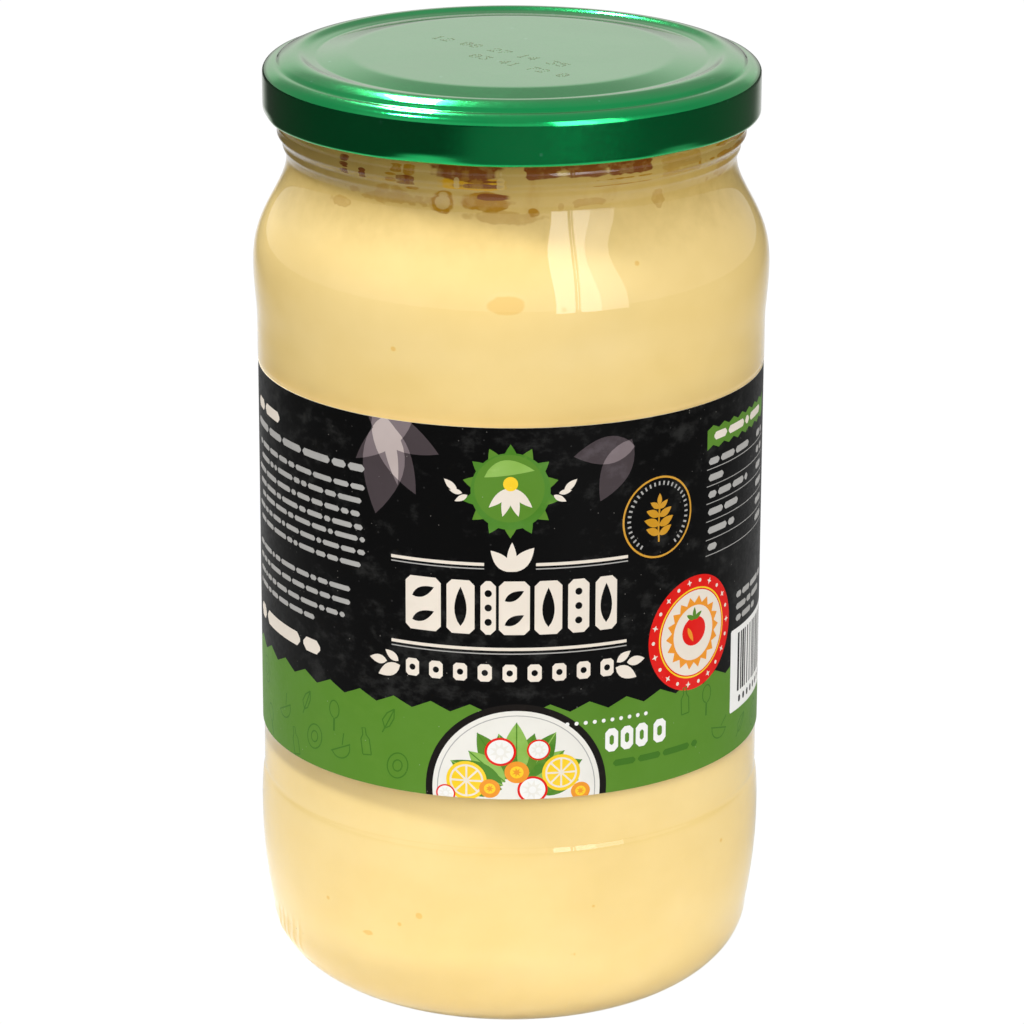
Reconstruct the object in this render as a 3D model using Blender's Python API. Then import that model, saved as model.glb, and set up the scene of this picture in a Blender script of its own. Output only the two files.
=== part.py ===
"""A full, shut mayonnaise jar: turned glass with a wraparound label and a green twist-off lid.

Z is up, the jar stands on z = 0 with its axis on Z, and its front faces -Y.
Every length is in metres, written as a number of millimetres times MM.
"""

import math

import bmesh
import bpy

MM = 0.001

# Driving dimensions of the glass
SEGMENTS = 60
BEARING_INNER_RADIUS = 25.0 * MM
BEARING_OUTER_RADIUS = 28.5 * MM
PUSH_UP = 3.6 * MM
HEEL_RADIUS = 42.65 * MM
HEEL_HEIGHT = 13.0 * MM
HEEL_CENTRE_RADIUS = 24.5 * MM
LOWER_BUMPER_RADIUS = 44.33 * MM
LOWER_BUMPER_HEIGHT = 30.5 * MM
LOWER_BUMPER_TOP = 38.4 * MM
UPPER_BUMPER_RADIUS = 44.67 * MM
UPPER_BUMPER_HEIGHT = 130.2 * MM
PANEL_RADIUS = 43.55 * MM
ABOVE_PANEL_RADIUS = 44.1 * MM
BELOW_PANEL_RADIUS = 43.8 * MM
NECK_RADIUS = 38.72 * MM
NECK_HEIGHT = 149.2 * MM
SHOULDER_FULLNESS = 1.25
BEAD_RADIUS = 40.4 * MM
BEAD_HEIGHT = 154.8 * MM
FINISH_RADIUS = 39.6 * MM
MOUTH_RADIUS = 36.6 * MM
GLASS_HEIGHT = 165.4 * MM
WALL = 2.2 * MM
FLOOR_HEIGHT = 5.0 * MM
FLOOR_RISE = 2.9 * MM
INNER_HEEL = 12.0 * MM

# Driving dimensions of the thread on the glass, six short ridges that the lid's lugs turn under
LUGS = 6
LUG_ANGLE = math.radians(-109.0)
THREAD_RELIEF = 1.1 * MM
THREAD_START = 157.4 * MM
THREAD_RISE = 5.6 * MM
THREAD_HALF_HEIGHT = 1.3 * MM
THREAD_RUN_OUT = 0.12

# Driving dimensions of the label, a paper strip lapped at the back
LABEL_BOTTOM = 47.2 * MM
LABEL_TOP = 113.1 * MM
LABEL_RADIUS = 44.05 * MM
PAPER = 0.2 * MM
LAP_RELIEF = 0.1 * MM
LAP_HALF_ANGLE = math.radians(6.0)
BACK_ANGLE = math.radians(90.0)

# Driving dimensions of the mayonnaise
GAP = 0.3 * MM
FILL_HEIGHT = 158.4 * MM
FILL_SWELL = 0.9 * MM

# Driving dimensions of the lid
LID_SEGMENTS = 72
LID_RADIUS = 42.75 * MM
LID_BOTTOM = 157.4 * MM
LID_SHEET = 0.4 * MM
PANEL_HEIGHT = 167.2 * MM
LID_PANEL_RADIUS = 28.0 * MM
GROOVE_RADIUS = 33.5 * MM
GROOVE_HEIGHT = 166.4 * MM
CREST_RADIUS = 36.8 * MM
CREST_HEIGHT = 167.1 * MM
CREST_FOOT_RADIUS = 39.8 * MM
CREST_FOOT_HEIGHT = 166.2 * MM
CREST_FULLNESS = 3.0
LEDGE_RADIUS = 40.6 * MM
LEDGE_HEIGHT = 165.6 * MM
SHOULDER_DROP = 1.8 * MM
CURL = 0.55 * MM
LUG_DEPTH = 1.3 * MM
LUG_HALF_ANGLE = math.radians(13.0)
LUG_RISE = 5.0 * MM


def smooth_step(value):
    """0 below 0, 1 above 1, and a smooth rise between."""
    value = min(max(value, 0.0), 1.0)
    return value * value * (3.0 - 2.0 * value)


def spread(start, end, count):
    """Evenly spaced values from start to end, both included."""
    return [start + (end - start) * index / (count - 1) for index in range(count)]


def angle_from_lug(angle):
    """The angle from the nearest lug, from minus to plus half a pitch."""
    pitch = 2.0 * math.pi / LUGS
    return (angle - LUG_ANGLE + pitch / 2.0) % pitch - pitch / 2.0


def heel_profile():
    """The push-up, the bearing ring and the round heel, from the axis outwards."""
    points = []
    for radius in spread(0.0, BEARING_INNER_RADIUS, 4):
        share = radius / BEARING_INNER_RADIUS
        points.append((radius, PUSH_UP * (1.0 - share * share)))
    points.append((BEARING_OUTER_RADIUS, 0.0))
    reach = HEEL_RADIUS - HEEL_CENTRE_RADIUS
    for turn in spread(math.radians(20.0), math.radians(84.0), 7):
        radius = HEEL_CENTRE_RADIUS + reach * math.sin(turn)
        points.append((radius, HEEL_HEIGHT * (1.0 - math.cos(turn))))
    return points


def lower_bumper_profile():
    """The swelling band above the heel, as a parabola up to the lower bumper."""
    fall = (LOWER_BUMPER_RADIUS - HEEL_RADIUS) / (LOWER_BUMPER_HEIGHT - HEEL_HEIGHT) ** 2
    points = []
    for height in spread(HEEL_HEIGHT, LOWER_BUMPER_HEIGHT, 4):
        points.append((LOWER_BUMPER_RADIUS - fall * (LOWER_BUMPER_HEIGHT - height) ** 2, height))
    points.append((LOWER_BUMPER_RADIUS - 0.1 * MM, LOWER_BUMPER_TOP - 2.8 * MM))
    points.append((BELOW_PANEL_RADIUS, LOWER_BUMPER_TOP))
    return points


def panel_profile():
    """The shallow recess that the label lies in."""
    return [
        (BELOW_PANEL_RADIUS, LABEL_BOTTOM - 0.7 * MM),
        (PANEL_RADIUS, LABEL_BOTTOM - 0.3 * MM),
        (PANEL_RADIUS, LABEL_TOP + 0.3 * MM),
        (ABOVE_PANEL_RADIUS, LABEL_TOP + 1.0 * MM),
    ]


def shoulder_profile():
    """The upper bumper and the S-shaped shoulder down to the neck groove."""
    points = [
        (ABOVE_PANEL_RADIUS, 121.8 * MM),
        (ABOVE_PANEL_RADIUS + 0.38 * MM, 126.0 * MM),
    ]
    for share in spread(0.0, 1.0, 9):
        swing = math.cos(math.pi * share**SHOULDER_FULLNESS)
        radius = NECK_RADIUS + (UPPER_BUMPER_RADIUS - NECK_RADIUS) * (1.0 + swing) / 2.0
        points.append((radius, UPPER_BUMPER_HEIGHT + (NECK_HEIGHT - UPPER_BUMPER_HEIGHT) * share))
    return points


def finish_profile():
    """The bead under the lid, the finish with rows for its thread, and the round rim."""
    points = [
        (NECK_RADIUS + 0.75 * MM, NECK_HEIGHT + 2.3 * MM),
        (BEAD_RADIUS - 0.15 * MM, BEAD_HEIGHT - 1.3 * MM),
        (BEAD_RADIUS, BEAD_HEIGHT),
        (BEAD_RADIUS - 0.4 * MM, BEAD_HEIGHT + 1.0 * MM),
    ]
    for height in spread(BEAD_HEIGHT + 1.7 * MM, GLASS_HEIGHT - 1.4 * MM, 6):
        points.append((FINISH_RADIUS, height))
    points.append((FINISH_RADIUS - 0.6 * MM, GLASS_HEIGHT))
    return points


def inner_profile(clearance=0.0):
    """The inside of the glass from the neck down to the axis, drawn in by a clearance."""
    inside = WALL + clearance
    floor = FLOOR_HEIGHT + clearance
    points = [(MOUTH_RADIUS - clearance, NECK_HEIGHT + 5.0 * MM)]
    for radius, height in reversed(shoulder_profile()[2::2]):
        points.append((radius - inside, height))
    points.append((PANEL_RADIUS - inside, 120.0 * MM))
    points.append((PANEL_RADIUS - inside, 80.0 * MM))
    centre_radius = PANEL_RADIUS - inside - INNER_HEEL
    for turn in spread(math.radians(90.0), math.radians(10.0), 5):
        radius = centre_radius + INNER_HEEL * math.sin(turn)
        points.append((radius, floor + INNER_HEEL * (1.0 - math.cos(turn))))
    for share in (0.55, 0.0):
        points.append((share * centre_radius, floor + FLOOR_RISE * (1.0 - share * share)))
    return points


def turned(name, profile, segments, loop=False):
    """An object turned about Z from a profile of (radius, height) points.

    A loop's last point joins its first, and any other profile starts and ends on the axis.
    """
    shape = bmesh.new()
    corners = [shape.verts.new((radius, 0.0, height)) for radius, height in profile]
    edges = [shape.edges.new(pair) for pair in zip(corners, corners[1:])]
    if loop:
        edges.append(shape.edges.new((corners[-1], corners[0])))
    bmesh.ops.spin(
        shape,
        geom=corners + edges,
        cent=(0.0, 0.0, 0.0),
        axis=(0.0, 0.0, 1.0),
        angle=2.0 * math.pi,
        steps=segments,
        use_merge=True,
    )
    bmesh.ops.remove_doubles(shape, verts=shape.verts, dist=0.001 * MM)
    bmesh.ops.recalc_face_normals(shape, faces=shape.faces)
    mesh = bpy.data.meshes.new(name)
    shape.to_mesh(mesh)
    shape.free()
    piece = bpy.data.objects.new(name, mesh)
    bpy.context.scene.collection.objects.link(piece)
    return piece


def reshape(piece, change):
    """Moves each point to the radius and height that change(radius, angle, height) gives."""
    for vertex in piece.data.vertices:
        radius = math.hypot(vertex.co.x, vertex.co.y)
        angle = math.atan2(vertex.co.y, vertex.co.x)
        radius, height = change(radius, angle, vertex.co.z)
        vertex.co = (radius * math.cos(angle), radius * math.sin(angle), height)


def finish_surface(piece, colour, roughness, metallic=0.0, transmission=0.0, sharp_degrees=35.0):
    """Gives a piece its own material and smooth shading."""
    material = bpy.data.materials.new(piece.name)
    material.use_nodes = True
    shader = material.node_tree.nodes["Principled BSDF"]
    shader.inputs["Base Color"].default_value = (*colour, 1.0)
    shader.inputs["Roughness"].default_value = roughness
    shader.inputs["Metallic"].default_value = metallic
    shader.inputs["Transmission Weight"].default_value = transmission
    piece.data.materials.append(material)
    piece.data.shade_smooth()
    piece.data.set_sharp_from_angle(angle=math.radians(sharp_degrees))


def thread_relief(angle, height):
    """How far a thread ridge stands out at an angle and a height on the finish."""
    pitch = 2.0 * math.pi / LUGS
    share = angle_from_lug(angle) / pitch + 0.5
    middle = THREAD_START + THREAD_RISE * share
    ridge = smooth_step(1.0 - abs(height - middle) / THREAD_HALF_HEIGHT)
    return THREAD_RELIEF * ridge * smooth_step(min(share, 1.0 - share) / THREAD_RUN_OUT)


def build_glass():
    """The jar itself, one turned wall with a raised thread on its finish."""
    profile = heel_profile() + lower_bumper_profile() + panel_profile()
    profile += shoulder_profile() + finish_profile()
    profile.append((MOUTH_RADIUS + 0.6 * MM, GLASS_HEIGHT))
    profile.append((MOUTH_RADIUS, GLASS_HEIGHT - 1.0 * MM))
    profile += inner_profile()
    glass = turned("glass_jar", profile, SEGMENTS)

    def raise_thread(radius, angle, height):
        on_finish = abs(radius - FINISH_RADIUS) < 0.01 * MM and height > BEAD_HEIGHT
        return (radius + thread_relief(angle, height) if on_finish else radius), height

    reshape(glass, raise_thread)
    finish_surface(glass, (0.93, 0.96, 0.92), 0.03, transmission=1.0)


def build_mayonnaise():
    """The filling, up to its level just under the lid, with a slightly uneven top."""
    wall = inner_profile(GAP)
    top_radius = MOUTH_RADIUS - GAP
    profile = [(share * top_radius, FILL_HEIGHT) for share in (0.0, 0.35, 0.7, 0.95)]
    profile.append((top_radius, FILL_HEIGHT - 0.6 * MM))
    filling = turned("mayonnaise", profile + wall, SEGMENTS)

    def roll_top(radius, angle, height):
        if height < FILL_HEIGHT - 1.0 * MM:
            return radius, height
        share = radius / top_radius
        wave = math.cos(2.0 * angle + 5.0 * share) + 0.6 * math.cos(3.0 * angle - 8.0 * share)
        return radius, height + FILL_SWELL * wave * share * (1.3 - share)

    reshape(filling, roll_top)
    finish_surface(filling, (0.90, 0.74, 0.42), 0.4)


def build_label():
    """The paper strip round the jar, with its end lapped over its start at the back."""
    profile = [
        (LABEL_RADIUS, LABEL_TOP),
        (LABEL_RADIUS, LABEL_BOTTOM),
        (LABEL_RADIUS - PAPER, LABEL_BOTTOM),
        (LABEL_RADIUS - PAPER, LABEL_TOP),
    ]
    label = turned("label", profile, SEGMENTS, loop=True)

    def lap_end(radius, angle, height):
        outside = radius > LABEL_RADIUS - PAPER / 2.0
        lapped = outside and abs(angle - BACK_ANGLE) < LAP_HALF_ANGLE
        return (radius + LAP_RELIEF if lapped else radius), height

    reshape(label, lap_end)
    finish_surface(label, (0.02, 0.02, 0.02), 0.5, sharp_degrees=60.0)


def lid_top_profile(drop):
    """The lid's top from the axis to the ledge round its crest, lowered by a drop."""
    points = [
        (0.0, PANEL_HEIGHT - drop),
        (LID_PANEL_RADIUS, PANEL_HEIGHT - drop),
        (GROOVE_RADIUS, GROOVE_HEIGHT - drop),
        (GROOVE_RADIUS + 1.8 * MM, GROOVE_HEIGHT + 0.22 * MM - drop),
    ]
    for share in spread(0.0, 1.0, 4):
        radius = CREST_RADIUS + (CREST_FOOT_RADIUS - CREST_RADIUS) * share
        fall = (CREST_HEIGHT - CREST_FOOT_HEIGHT) * share**CREST_FULLNESS
        points.append((radius, CREST_HEIGHT - fall - drop))
    points.append((LEDGE_RADIUS, LEDGE_HEIGHT - drop))
    return points


def lid_shoulder_profile(inset):
    """The round shoulder from the ledge to the skirt, inset by the sheet's thickness."""
    points = []
    for turn in spread(math.radians(22.5), math.radians(90.0), 4):
        radius = LEDGE_RADIUS + (LID_RADIUS - LEDGE_RADIUS - inset) * math.sin(turn)
        height = LEDGE_HEIGHT - SHOULDER_DROP + (SHOULDER_DROP - inset) * math.cos(turn)
        points.append((radius, height))
    return points


def build_lid():
    """The pressed metal lid, with a raised panel, a rolled edge and six lugs pressed in."""
    inner_radius = LID_RADIUS - LID_SHEET
    profile = lid_top_profile(0.0) + lid_shoulder_profile(0.0)
    profile.append((LID_RADIUS, LID_BOTTOM + 4.0 * MM))
    profile.append((LID_RADIUS, LID_BOTTOM + 2.0 * MM))
    for turn in spread(0.0, 270.0, 5):
        around = math.radians(turn)
        radius = LID_RADIUS - CURL + CURL * math.cos(around)
        profile.append((radius, LID_BOTTOM + CURL - CURL * math.sin(around)))
    profile.append((inner_radius, LID_BOTTOM + 3.5 * MM))
    profile += reversed(lid_shoulder_profile(LID_SHEET))
    profile += reversed(lid_top_profile(LID_SHEET))
    lid = turned("lid", profile, LID_SEGMENTS)

    def press_lugs(radius, angle, height):
        near = smooth_step(1.0 - abs(angle_from_lug(angle)) / LUG_HALF_ANGLE)
        low = smooth_step(1.0 - (height - LID_BOTTOM) / LUG_RISE)
        return radius - LUG_DEPTH * near * low, height

    reshape(lid, press_lugs)
    finish_surface(lid, (0.0, 0.22, 0.08), 0.25, metallic=0.3)


def main():
    for old in list(bpy.context.scene.objects):
        bpy.data.objects.remove(old)
    build_glass()
    build_mayonnaise()
    build_label()
    build_lid()


main()
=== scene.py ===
"""A full, shut jar of mayonnaise: turned glass, its creamy filling, a wraparound label and a green lid.

The jar stands on z = 0 with its axis on Z and its front on -Y. Lengths are metres, or millimetres times MM.
"""

import logging
import math
import random
from collections.abc import Callable, Sequence
from dataclasses import dataclass, field
from enum import Enum, auto

import bpy
import numpy as np
from mathutils import Matrix, Quaternion, Vector
from mathutils.geometry import delaunay_2d_cdt


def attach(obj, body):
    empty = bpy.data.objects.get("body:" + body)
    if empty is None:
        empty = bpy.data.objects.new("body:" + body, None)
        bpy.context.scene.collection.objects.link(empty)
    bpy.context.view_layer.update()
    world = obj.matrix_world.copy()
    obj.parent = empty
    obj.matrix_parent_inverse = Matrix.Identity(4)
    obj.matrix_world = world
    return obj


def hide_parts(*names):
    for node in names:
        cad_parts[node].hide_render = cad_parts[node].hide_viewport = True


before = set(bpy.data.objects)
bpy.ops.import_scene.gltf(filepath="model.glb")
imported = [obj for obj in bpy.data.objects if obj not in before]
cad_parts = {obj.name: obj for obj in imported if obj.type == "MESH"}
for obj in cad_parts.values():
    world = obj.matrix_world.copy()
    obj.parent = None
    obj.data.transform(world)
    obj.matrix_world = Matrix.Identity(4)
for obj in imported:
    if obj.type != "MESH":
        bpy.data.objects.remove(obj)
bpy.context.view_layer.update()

log = logging.getLogger("mayonnaise_jar")

MM = 0.001
FRONT = math.radians(-90.0)
ON_AXIS = 1e-7
LEAST_STEP_DEGREES = 0.04
CORNER_CUTS = 2
GRAIN_RANGE = (0.3, 0.7)

Pair = tuple[float, float]
Point = tuple[float, float]
Place = tuple[float, float, float]
Colour = tuple[float, float, float]
Socket = bpy.types.NodeSocket
Sockets = bpy.types.bpy_prop_collection
Feeds = dict[str | int, object]
Grid = np.ndarray
Shaper = Callable[[Grid, Grid, Grid], tuple[Grid, Grid]]


def smooth_step(value: np.ndarray) -> np.ndarray:
    """0 below 0, 1 above 1, and a smooth rise between."""
    value = np.clip(value, 0.0, 1.0)
    return value * value * (3.0 - 2.0 * value)


def spread(start: float, end: float, count: int) -> list[float]:
    """Evenly spaced values from start to end, both included."""
    return [start + (end - start) * index / (count - 1) for index in range(count)]


def from_front(angle: np.ndarray) -> np.ndarray:
    """The angle to the right of the jar's front, from -pi to pi."""
    return (angle - FRONT + math.pi) % (2.0 * math.pi) - math.pi


def fill_in(points: Sequence[Point], longest: float) -> list[Point]:
    """Adds points along a profile so that no step is longer than a length.

    Args:
        points: (radius, height) pairs.
        longest: the longest step that may stay.

    Returns:
        The profile with its own points and the added ones.
    """
    made = [points[0]]
    for (radius_a, height_a), (radius_b, height_b) in zip(points, points[1:]):
        steps = max(1, math.ceil(math.hypot(radius_b - radius_a, height_b - height_a) / longest))
        for step in range(1, steps + 1):
            share = step / steps
            radius = radius_a + (radius_b - radius_a) * share
            made.append((radius, height_a + (height_b - height_a) * share))
    return made


def rounded(points: Sequence[Point]) -> list[Point]:
    """Rounds the corners of an open profile by cutting them, keeping its ends.

    Args:
        points: (radius, height) pairs.

    Returns:
        The softened profile.
    """
    points = list(points)
    for _ in range(CORNER_CUTS):
        made = [points[0]]
        for (radius_a, height_a), (radius_b, height_b) in zip(points, points[1:]):
            made.append((0.75 * radius_a + 0.25 * radius_b, 0.75 * height_a + 0.25 * height_b))
            made.append((0.25 * radius_a + 0.75 * radius_b, 0.25 * height_a + 0.75 * height_b))
        made.append(points[-1])
        points = made
    return points


def grey(level: float) -> Colour:
    """A grey of some brightness."""
    return (level, level, level)


def columns(count: int, dense: Sequence[tuple[float, float, float]] = ()) -> np.ndarray:
    """The angles at which a turned piece has its columns.

    Args:
        count: how many evenly spaced columns there are.
        dense: (middle, half width, step) of each stretch with closer columns, in degrees from the front.

    Returns:
        The sorted angles in radians, measured from +X.
    """
    angles = set(np.round(np.arange(count) * 360.0 / count, 4))
    for middle, half, step in dense:
        near = np.arange(middle - half, middle + half, step) - 90.0
        angles |= set(np.round(near % 360.0, 4))
    kept = [-1.0]
    for angle in sorted(angles):
        if angle - kept[-1] > LEAST_STEP_DEGREES:
            kept.append(angle)
    return np.radians(np.array(kept[1:]))


class MeshShop:
    """Makes closed meshes and hangs them on the frame."""

    @staticmethod
    def piece(name: str, points: np.ndarray, faces: Sequence[Sequence[int]]) -> bpy.types.Object:
        """An object from its points and faces, linked to the scene.

        Args:
            name: the piece's name.
            points: one row of X, Y and Z for each point.
            faces: the numbers of each face's points.

        Returns:
            The new object.
        """
        mesh = bpy.data.meshes.new(name)
        mesh.from_pydata(points.tolist(), [], faces)
        mesh.validate()
        made = bpy.data.objects.new(name, mesh)
        bpy.context.scene.collection.objects.link(made)
        return made

    @classmethod
    def turn(
        cls,
        name: str,
        profile: Sequence[Point],
        angles: np.ndarray,
        shaper: Shaper | None = None,
        sharp_degrees: float = 50.0,
    ) -> bpy.types.Object:
        """Turns a closed solid about Z.

        Args:
            name: the piece's name.
            profile: (radius, height) pairs. It starts and ends on the axis, or else it closes on itself.
            angles: the angles of the columns, in radians.
            shaper: moves the points, from arrays of radius, angle and height to radius and height.
            sharp_degrees: an edge that turns more than this stays sharp.

        Returns:
            The new object.
        """
        pairs = np.array(profile)
        radius = np.repeat(pairs[:, :1], len(angles), axis=1)
        height = np.repeat(pairs[:, 1:], len(angles), axis=1)
        around = np.repeat(angles[None, :], len(pairs), axis=0)
        if shaper:
            radius, height = shaper(radius, around, height)
        on_axis = pairs[:, 0] < ON_AXIS
        index = np.zeros(radius.shape, int)
        points, count = [], 0
        for row, pole in enumerate(on_axis):
            if pole:
                index[row] = count
                points.append([[0.0, 0.0, float(height[row].mean())]])
                count += 1
            else:
                index[row] = count + np.arange(len(angles))
                across = radius[row] * np.cos(angles)
                along = radius[row] * np.sin(angles)
                points.append(np.stack([across, along, height[row]], axis=1))
                count += len(angles)
        last = len(pairs) - 1 if on_axis[0] else len(pairs)
        faces = []
        for row in range(last):
            low, high = index[row], index[(row + 1) % len(pairs)]
            corners = np.stack([low, np.roll(low, -1), np.roll(high, -1), high], axis=1)
            for quad in corners.tolist():
                face = list(dict.fromkeys(quad))
                if len(face) > 2:
                    faces.append(face)
        points = np.concatenate(points)
        if cls.volume(points, faces) < 0.0:
            faces = [face[::-1] for face in faces]
        made = cls.piece(name, points, faces)
        made.data.shade_smooth()
        made.data.set_sharp_from_angle(angle=math.radians(sharp_degrees))
        return made

    @staticmethod
    def volume(points: np.ndarray, faces: Sequence[Sequence[int]]) -> float:
        """Six times the volume inside a mesh.

        Args:
            points: the points.
            faces: the faces.

        Returns:
            The volume, below zero where the faces look inward.
        """
        fans = [(face[0], face[k], face[k + 1]) for face in faces for k in range(1, len(face) - 1)]
        corners = points[np.array(fans)]
        return float(np.linalg.det(corners).sum())

    @staticmethod
    def hang(made: bpy.types.Object, slot: str, *replaced: str) -> bpy.types.Object:
        """Lets a piece ride on the jar, and hides the nodes of the part that it stands for.

        Args:
            made: the piece.
            slot: not used.
            replaced: the nodes of the part.

        Returns:
            The same piece.
        """
        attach(made, "root")
        if replaced:
            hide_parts(*replaced)
        return made


class Bench:
    """Places and links the nodes of one node tree."""

    def __init__(self, tree: bpy.types.NodeTree) -> None:
        """Takes the tree to work on."""
        self.tree = tree

    def node(self, kind: str, feeds: Feeds | None = None, **settings: object) -> bpy.types.Node:
        """A new node.

        Args:
            kind: the node's type.
            feeds: what its inputs get, by name or number.
            settings: its other properties.

        Returns:
            The node.
        """
        made = self.tree.nodes.new(kind)
        for name, value in settings.items():
            setattr(made, name, value)
        self.dress(made, feeds or {})
        return made

    def dress(self, node: bpy.types.Node, feeds: Feeds) -> None:
        """Feeds a node's inputs by name or number."""
        for label, value in feeds.items():
            self.feed(node.inputs[label], value)

    def feed(self, socket: Socket, value: object) -> None:
        """Links an input to an output, or sets it to a value.

        Args:
            socket: the input.
            value: the output, or else a number, a vector or a colour.
        """
        if isinstance(value, Socket):
            self.tree.links.new(value, socket)
        elif isinstance(value, tuple) and len(value) == 3 and socket.type == "RGBA":
            socket.default_value = (*value, 1.0)
        else:
            socket.default_value = value

    def math(self, operation: str, *values: object, clamp: bool = False) -> Socket:
        """The result of a Math node."""
        feeds = dict(enumerate(values))
        return self.node("ShaderNodeMath", feeds, operation=operation, use_clamp=clamp).outputs[0]

    def mix(self, share: object, first: object, second: object) -> Socket:
        """A colour mixed from two, which are inputs 6 and 7 of the node."""
        feeds = {0: share, 6: first, 7: second}
        return self.node("ShaderNodeMix", feeds, data_type="RGBA").outputs[2]

    def ramp(self, value: object, low: object, high: object, start: float = 0.0, end: float = 1.0) -> Socket:
        """A smooth map of value from low..high to start..end."""
        feeds = dict(enumerate((value, low, high, start, end)))
        return self.node("ShaderNodeMapRange", feeds, interpolation_type="SMOOTHSTEP").outputs[0]

    def noise(self, where: object, scale: object, detail: float = 3.0, roughness: float = 0.55) -> Socket:
        """The value of a Noise texture."""
        feeds = {"Vector": where, "Scale": scale, "Detail": detail, "Roughness": roughness}
        return self.node("ShaderNodeTexNoise", feeds).outputs[0]

    def place(self) -> Socket:
        """The point on the piece in its own coordinates, in metres."""
        return self.node("ShaderNodeTexCoord").outputs["Object"]

    def split(self, where: object) -> Sockets:
        """The X, Y and Z of a place."""
        return self.node("ShaderNodeSeparateXYZ", {0: where}).outputs

    def stretched(self, where: object, scale: Place) -> Socket:
        """A place scaled by a factor on each axis."""
        return self.node("ShaderNodeMapping", {"Vector": where, "Scale": scale}).outputs[0]

    def bump(self, height: object, strength: float, depth: float, normal: object = None) -> Socket:
        """A normal bent by a height.

        Args:
            height: the height, from 0 to 1.
            strength: the bump's strength.
            depth: the depth of 1 in metres.
            normal: a normal that is bent already.

        Returns:
            The new normal.
        """
        feeds = {"Height": height, "Strength": strength, "Distance": depth}
        if normal is not None:
            feeds["Normal"] = normal
        return self.node("ShaderNodeBump", feeds).outputs[0]

    def cover(self, share: object, first: bpy.types.Node, second: bpy.types.Node) -> None:
        """Makes the material's surface from two shaders.

        Args:
            share: how much of the second shows.
            first: the one shader.
            second: the other shader.
        """
        mixed = self.node("ShaderNodeMixShader", {0: share, 1: first.outputs[0], 2: second.outputs[0]})
        output = next(node for node in self.tree.nodes if node.type == "OUTPUT_MATERIAL")
        self.feed(output.inputs["Surface"], mixed.outputs[0])


@dataclass(frozen=True)
class Smear:
    """One patch on the jar's side.

    Its middle is in degrees from the front and in millimetres, and its half sizes are in millimetres.
    """

    angle: float
    height: float
    half_width: float
    half_height: float
    ragged: float = 0.5


@dataclass(frozen=True)
class SidePlace:
    """The shaded point's angle to the right of the front, its height, and a noise that bends outlines."""

    around: Socket
    up: Socket
    wander: Socket


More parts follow.
